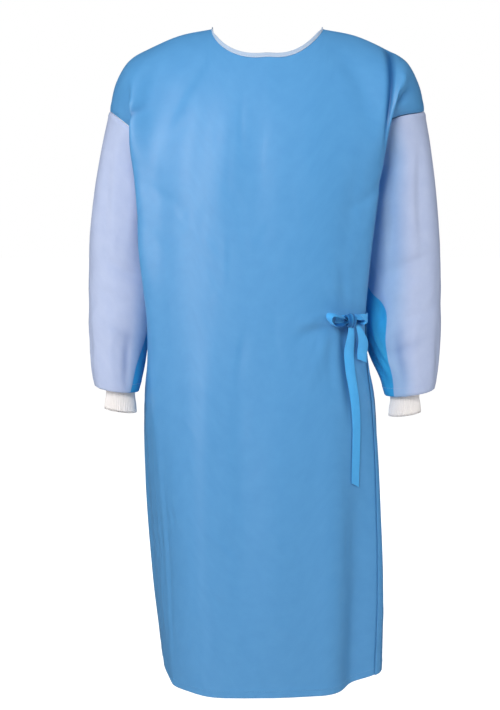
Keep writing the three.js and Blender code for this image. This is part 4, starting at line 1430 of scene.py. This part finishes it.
def nonwoven(name, thick, thin, shade, sheen, strip=None):
    """Nonwoven cloth: clouded colour that painted shade deepens in narrow troughs and in the bow, pressed
    points and fibres as bump, and a soft sheen. The strip is a second pair of colours for the points inside
    the strip's edge, also mixed in beside it as painted shade."""
    material, tree, shader = new_material(name)
    cloth = cloth_map(tree)
    web = group_node(tree, FIBRE_WEB, {"Cloth": cloth, "Cloud Scale": CLOUDS})
    bonds = group_node(tree, BOND_POINTS, {"Cloth": cloth, "Per Metre": BONDS})
    cloud = ranged(tree, web.outputs["Cloud"], 0.0, 1.0, 0.3, 0.7)
    base = mixed(tree, thin, thick, cloud)
    if strip is not None:
        base = mixed(tree, base, mixed(tree, strip[1], strip[0], cloud), strip_mask(tree))
    # painted shade: the colour is multiplied by the shade colour in troughs and in the bow
    hollow = ranged(tree, point_value(tree, "hollow"), 0.0, PAINTED_SHADE_STRENGTH)
    base = mixed(tree, base, (*shade, 1.0), hollow, "MULTIPLY")
    base = mixed(tree, base, ranged(tree, bonds.outputs["Height"], BOND_SHADE, 1.0), 1.0, "MULTIPLY")
    fibre = ranged(tree, web.outputs["Fibre"], 0.0, 0.35)
    height = put(tree, "ShaderNodeMath", {0: bonds.outputs["Height"], 1: fibre}, operation="ADD")
    bump = put(tree, "ShaderNodeBump", {"Height": height.outputs[0], **NONWOVEN_BUMP})
    looks = {
        "Base Color": base,
        "Roughness": ranged(tree, web.outputs["Cloud"], *NONWOVEN_ROUGH),
        "Normal": bump.outputs[0],
        "Sheen Weight": sheen,
        "Sheen Roughness": 0.4,
        "Specular IOR Level": 0.5,
    }
    feed_all(tree, shader, looks)
    return material


def woven(name, light, dark, across, down, bump_size):
    """Knit or woven tape: a cell for each loop of yarn, as many across and down a metre, light and high
    in the middle and dark and low at the edges."""
    material, tree, shader = new_material(name)
    cloth = cloth_map(tree)
    loops = put(tree, "ShaderNodeMapping", {"Vector": cloth, "Scale": (across, down, 1.0)})
    web = group_node(tree, FIBRE_WEB, {"Cloth": cloth, "Cloud Scale": 120.0})
    loop = ranged(tree, flat_cells(tree, loops.outputs[0], 1.0, 0.12), 1.0, 0.0, 0.1, 0.6)
    base = mixed(tree, dark, light, loop)
    base = mixed(tree, base, ranged(tree, web.outputs["Cloud"], 0.95, 1.0), 1.0, "MULTIPLY")
    bump = put(tree, "ShaderNodeBump", {"Height": loop, "Strength": YARN_BUMP, "Distance": bump_size})
    looks = {
        "Base Color": base,
        "Roughness": ranged(tree, loop, *YARN_ROUGH),
        "Normal": bump.outputs[0],
        "Sheen Weight": 0.15,
        "Specular IOR Level": 0.2,
    }
    feed_all(tree, shader, looks)
    return material


def spun_thread(name, light, dark):
    """Sewing thread: slanted light and dark turns of its plies."""
    material, tree, shader = new_material(name)
    place = put(tree, "ShaderNodeTexCoord").outputs["Object"]
    ply = put(tree, "ShaderNodeTexWave", {"Vector": place, "Scale": PLIES, "Distortion": 1.0})
    feed_all(tree, shader, {"Base Color": mixed(tree, dark, light, ply.outputs["Fac"]), "Roughness": 0.6})
    return material


BODY_SHADE = (0.05, 0.25, 0.42)  # what the painted shade in troughs and in the bow leaves of the colour
SLEEVE_SHADE = (0.32, 0.44, 0.66)
TIE_SHADE = (0.02, 0.16, 0.31)
BODY_BLUE = nonwoven("body_nonwoven", colour(88, 156, 211), colour(83, 151, 207), BODY_SHADE, 0.02)
SLEEVE_BLUE = nonwoven(
    "sleeve_nonwoven",
    colour(185, 197, 227),
    colour(178, 191, 223),
    SLEEVE_SHADE,
    0.05,
    strip=(colour(56, 164, 221), colour(50, 156, 213)),
)
TIE_BLUE = nonwoven("tie_nonwoven", colour(84, 180, 244), colour(76, 172, 238), TIE_SHADE, 0.1)
WHITE_KNIT = woven("white_knit", colour(254, 250, 247), colour(242, 236, 233), 720, 560, 0.0005)
WHITE_TAPE = woven("white_tape", colour(194, 210, 230), colour(166, 188, 215), 1300, 900, 0.0003)
BLUE_THREAD = spun_thread("blue_thread", colour(132, 190, 232), colour(86, 150, 208))
PALE_THREAD = spun_thread("pale_thread", colour(186, 198, 228), colour(160, 174, 212))
WHITE_THREAD = spun_thread("white_thread", colour(240, 242, 246), colour(205, 208, 214))


# Building the pieces


def finish_piece(piece, material, slot, *nodes):
    """Gives a piece its material, its CAD body and the CAD nodes that it stands for."""
    piece.data.materials.append(material)
    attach(piece, "root")
    if nodes:
        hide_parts(*nodes)
    return piece


def shoulder_distance(panel):
    """Distance from the top edge, or far away where the top edge is neckline."""
    face_turn = np.abs(round_apart(turn_of(panel.across), 0, 180))
    return panel.from_top + FAR_AWAY * (face_turn < 90 * NECK_SHARE)


def edged(panel, seams, bands):
    """A panel with its edges moved: drawn in by a bell along its seams, and raised by a soft step over
    its turned hems."""
    out = -SEAM_DRAW * bell(shoulder_distance(panel) / SEAM_REACH)
    for distance in seams:
        out -= SEAM_DRAW * bell(distance / SEAM_REACH)
    for distance, width in ((panel.from_bottom, HEM_BAND), *bands):
        out += BAND_RISE * smoothstep(width + BAND_STEP, width, distance)
    return moved_out(panel, out)


def build_body():
    """The panels of the front, the under back and the wrap."""
    front = body_panel("front", COLUMNS["front"], side_seam(-90), side_seam(90))
    under = body_panel("back", COLUMNS["under"], side_seam(90), under_edge)
    wrap = body_panel("back", COLUMNS["wrap"], wrap_edge, side_seam(270), wrap_lift)
    return (
        edged(front, [front.from_start, front.from_end], []),
        edged(under, [under.from_start], [(under.from_end, EDGE_BAND)]),
        edged(wrap, [wrap.from_end], [(wrap.from_start, EDGE_BAND)]),
    )


def line_on(panel, distance, at, upright=False):
    """The line on a panel at one distance from an edge, read between the grid's rows, or between its
    columns where the line is upright: its points and outward directions."""
    values = np.concatenate([panel.points, panel.outward, distance[..., None]], axis=-1)
    if upright:
        values = values.transpose(1, 0, 2)
    if values[0, 0, -1] < values[-1, 0, -1]:
        values = values[::-1]
    before = np.clip(np.sum(values[..., -1] > at, axis=0) - 1, 0, len(values) - 2)
    place = np.arange(values.shape[1])
    far, near = values[before, place], values[before + 1, place]
    line = mix(far, near, (far[:, -1:] - at) / (far[:, -1:] - near[:, -1:]))
    return line[:, :3], line[:, 3:6]


def body_cloth(node, panel):
    """A body panel as a finished piece with its wall."""
    # the panel carries its painted trough shade to the material
    piece = give_wall(add_grid(f"{node}_cloth", panel.points, cloth_uv(panel), hollow=panel.hollow), SHELL)
    return finish_piece(piece, BODY_BLUE, "body_nonwoven", node)


def finish_tie(piece, node):
    """A finished piece in the ties' cloth."""
    return finish_piece(piece, TIE_BLUE, "tie_nonwoven", node)


front, under, wrap = build_body()
front_cloth = body_cloth("front", front)
under_cloth = body_cloth("back_under", under)
wrap_cloth = body_cloth("back_wrap", wrap)

sleeves, cuffs, sleeve_lines = {}, {}, {}
for name in SIDE:
    sleeves[name], sleeve = build_sleeve(name)
    finish_piece(sleeves[name], SLEEVE_BLUE, "sleeve_nonwoven", f"sleeve_{name}")
    above_end = sleeve.from_start - sleeve.from_start.min()
    sleeve_lines[name] = line_on(sleeve, above_end, SLEEVE_HEM - STITCH_IN)
    cuffs[name] = finish_piece(build_cuff(name), WHITE_KNIT, "white_knit", f"cuff_{name}")

binding, binding_seam, binding_out = build_binding()
finish_piece(binding, WHITE_TAPE, "white_tape", "neck_binding")
tab, tab_points, tab_out = build_tab()
finish_piece(tab, WHITE_TAPE, "white_tape", "neck_tab")

middle = KNOT["turn"]
under_knot = KNOT["stands"] - KNOT["depth"] / 2 - SEAM_GAP
on_front = SEAM_GAP + STRAP_SOLID
on_wrap = CLOTH + LAP_GAP + SEAM_GAP + FACET_SPARE + STRAP_SOLID
tie_front = build_strap(
    "tie_front_strap",
    np.linspace(FRONT_TIE_END, middle - STRAP_PART, 16),
    lambda turn: mix(on_front, under_knot, smoothstep(FRONT_TIE_END, middle, turn)),
)
tie_wrap = build_strap(
    "tie_wrap_strap",
    np.linspace(middle + STRAP_PART, WRAP_TIE_END, 48),
    lambda turn: mix(under_knot, on_wrap, smoothstep(middle, WRAP_TIE_END - WRAP_TIE_EASE, turn)),
)
finish_tie(tie_front, "tie_front")
finish_tie(tie_wrap, "tie_wrap")
tails = {name: finish_tie(build_tail(name, *row), f"tie_tail_{name}") for name, row in TAILS.items()}
loops = {name: finish_tie(build_loop(name, *row), f"bow_loop_{name}") for name, row in LOOPS.items()}
knot = finish_tie(build_knot(), "tie_knot")

# Stitches: along the hems and the free edges, round the sleeve ends, and on the tape
HEM_LINE = HEM_BAND - STITCH_IN
EDGE_LINE = EDGE_BAND - STITCH_IN
STITCH_ROWS = {
    "front_hem": [line_on(front, front.from_bottom, HEM_LINE)],
    "under_hem": [
        line_on(under, under.from_bottom, HEM_LINE),
        line_on(under, under.from_end, EDGE_LINE, upright=True),
    ],
    "wrap_hem": [
        line_on(wrap, wrap.from_bottom, HEM_LINE),
        line_on(wrap, wrap.from_start, EDGE_LINE, upright=True),
    ],
    "sleeve_right": [sleeve_lines["right"]],
    "sleeve_left": [sleeve_lines["left"]],
    "binding": [(binding_seam, binding_out)],
    "tab": [(tab_points[:, column], tab_out[:, column]) for column in TAB_STITCHED],
}
BODY_FINISH = (BLUE_THREAD, "body_nonwoven")
STITCH_FINISH = {
    "sleeve_right": (PALE_THREAD, "sleeve_nonwoven"),
    "sleeve_left": (PALE_THREAD, "sleeve_nonwoven"),
    "binding": (WHITE_THREAD, "white_tape"),
    "tab": (WHITE_THREAD, "white_tape"),
}
stitches = {}
for name, rows in STITCH_ROWS.items():
    stitches[name] = build_stitches(f"{name}_stitches", rows)
    finish_piece(stitches[name], *STITCH_FINISH.get(name, BODY_FINISH))


# Stage, light and camera

FLOOR_Z = -1.55
FLOOR_REACH = 30.0
FLOOR_GREY = (0.85, 0.85, 0.85, 1)
FLOOR_GLOW = 1.45  # the floor as the camera sees it is nearly as white as the surround
FLOOR_GLOW_SHARE = 0.7  # how much of the floor that the camera sees is that glow
WHITE = (1, 1, 1, 1)
SURROUND_LIGHT = 0.13
AIM = (0, 0, -0.6)  # the middle of the gown, which the lights face
CAMERA_PLACE = (-0.031, -1.9, -0.34)
CAMERA_TILT = 82.5  # degrees up from straight down
SENSOR = 36
FRAME_HEIGHT = 710  # pixels of the picture
FOCAL_LENGTH = 1034  # in the same pixels
# Lights: place, width and height, and power
SOFTBOXES = {
    "key": ((-1.0, -2.7, 0.9), (1.2, 1.2), 71),
    "sheen": ((-1.5, -2.4, 0.4), (0.7, 2.6), 58),
    "fill": ((2.2, -0.9, 0.1), (1.2, 1.2), 18),
    "side": ((-2.3, -0.7, -0.3), (1.2, 1.2), 10),
    "top": ((-0.4, -0.9, 2.1), (1.5, 1.5), 14),
    "back_left": ((0.9, 2.8, -0.3), (1.4, 1.4), 46),
    "back_right": ((-1.0, 2.8, -0.3), (1.4, 1.4), 24),
}
SHEEN_TINT = (1, 0.8, 0.64)
scene = bpy.context.scene
scene.view_settings.view_transform = "Standard"


def build_floor():
    """A plain pale floor below the hem."""
    ends = ((-1, -1), (1, -1), (1, 1), (-1, 1))
    mesh = bpy.data.meshes.new("floor")
    mesh.from_pydata([(x * FLOOR_REACH, y * FLOOR_REACH, FLOOR_Z) for x, y in ends], [], [(0, 1, 2, 3)])
    floor = bpy.data.objects.new("floor", mesh)
    scene.collection.objects.link(floor)
    material, tree, shader = new_material("pale_floor")
    feed_all(tree, shader, {"Base Color": FLOOR_GREY, "Roughness": 0.9})
    glow = put(tree, "ShaderNodeEmission", {"Color": WHITE, "Strength": FLOOR_GLOW})
    path = put(tree, "ShaderNodeLightPath")
    seen = ranged(tree, path.outputs["Is Camera Ray"], 0.0, FLOOR_GLOW_SHARE)
    both = put(tree, "ShaderNodeMixShader", {0: seen, 1: shader.outputs[0], 2: glow.outputs[0]})
    tree.links.new(both.outputs[0], tree.nodes["Material Output"].inputs["Surface"])
    mesh.materials.append(material)
    floor.visible_glossy = False


def add_softbox(name, place, size, power):
    """An area light, wide and tall, that faces the middle of the gown."""
    light = bpy.data.lights.new(name, "AREA")
    light.shape = "RECTANGLE"
    light.size, light.size_y = size
    light.energy = power
    lamp = bpy.data.objects.new(name, light)
    lamp.location = place
    toward = np.array(AIM) - np.array(place)
    yaw = math.atan2(toward[1], toward[0]) - math.pi / 2
    pitch = math.atan2(toward[2], math.hypot(toward[0], toward[1])) + math.pi / 2
    lamp.rotation_euler = (pitch, 0, yaw)
    scene.collection.objects.link(lamp)
    return lamp


def build_lights():
    """Softboxes for an even light without gloss. The sheen is gloss alone, on the front alone."""
    lamps = {}
    for name, row in SOFTBOXES.items():
        lamps[name] = add_softbox(name, *row)
        lamps[name].visible_diffuse = name != "sheen"
        lamps[name].visible_glossy = name == "sheen"
    lit = bpy.data.collections.new("sheen_lights")
    lit.objects.link(front_cloth)
    lamps["sheen"].light_linking.receiver_collection = lit
    lamps["sheen"].data.color = SHEEN_TINT


def build_world():
    """A white surround that lights the gown only a little."""
    world = bpy.data.worlds.new("surround")
    world.use_nodes = True
    tree = world.node_tree
    shade = tree.nodes["Background"]
    feed_all(tree, shade, {"Color": WHITE, "Strength": SURROUND_LIGHT})
    sky = put(tree, "ShaderNodeBackground", {"Color": WHITE, "Strength": 1.0})
    path = put(tree, "ShaderNodeLightPath")
    inputs = {0: path.outputs["Is Camera Ray"], 1: shade.outputs[0], 2: sky.outputs[0]}
    both = put(tree, "ShaderNodeMixShader", inputs)
    tree.links.new(both.outputs[0], tree.nodes["World Output"].inputs["Surface"])
    world.cycles_visibility.glossy = False
    scene.world = world


def build_camera():
    """The picture's viewpoint: a little to the wearer's right, below the neck, looking slightly down."""
    lens = bpy.data.cameras.new("camera")
    lens.sensor_width = SENSOR
    lens.lens = SENSOR * FOCAL_LENGTH / FRAME_HEIGHT
    camera = bpy.data.objects.new("camera", lens)
    camera.location = CAMERA_PLACE
    camera.rotation_euler = (math.radians(CAMERA_TILT), 0, 0)
    scene.collection.objects.link(camera)
    scene.camera = camera


build_floor()
build_lights()
build_world()
build_camera()
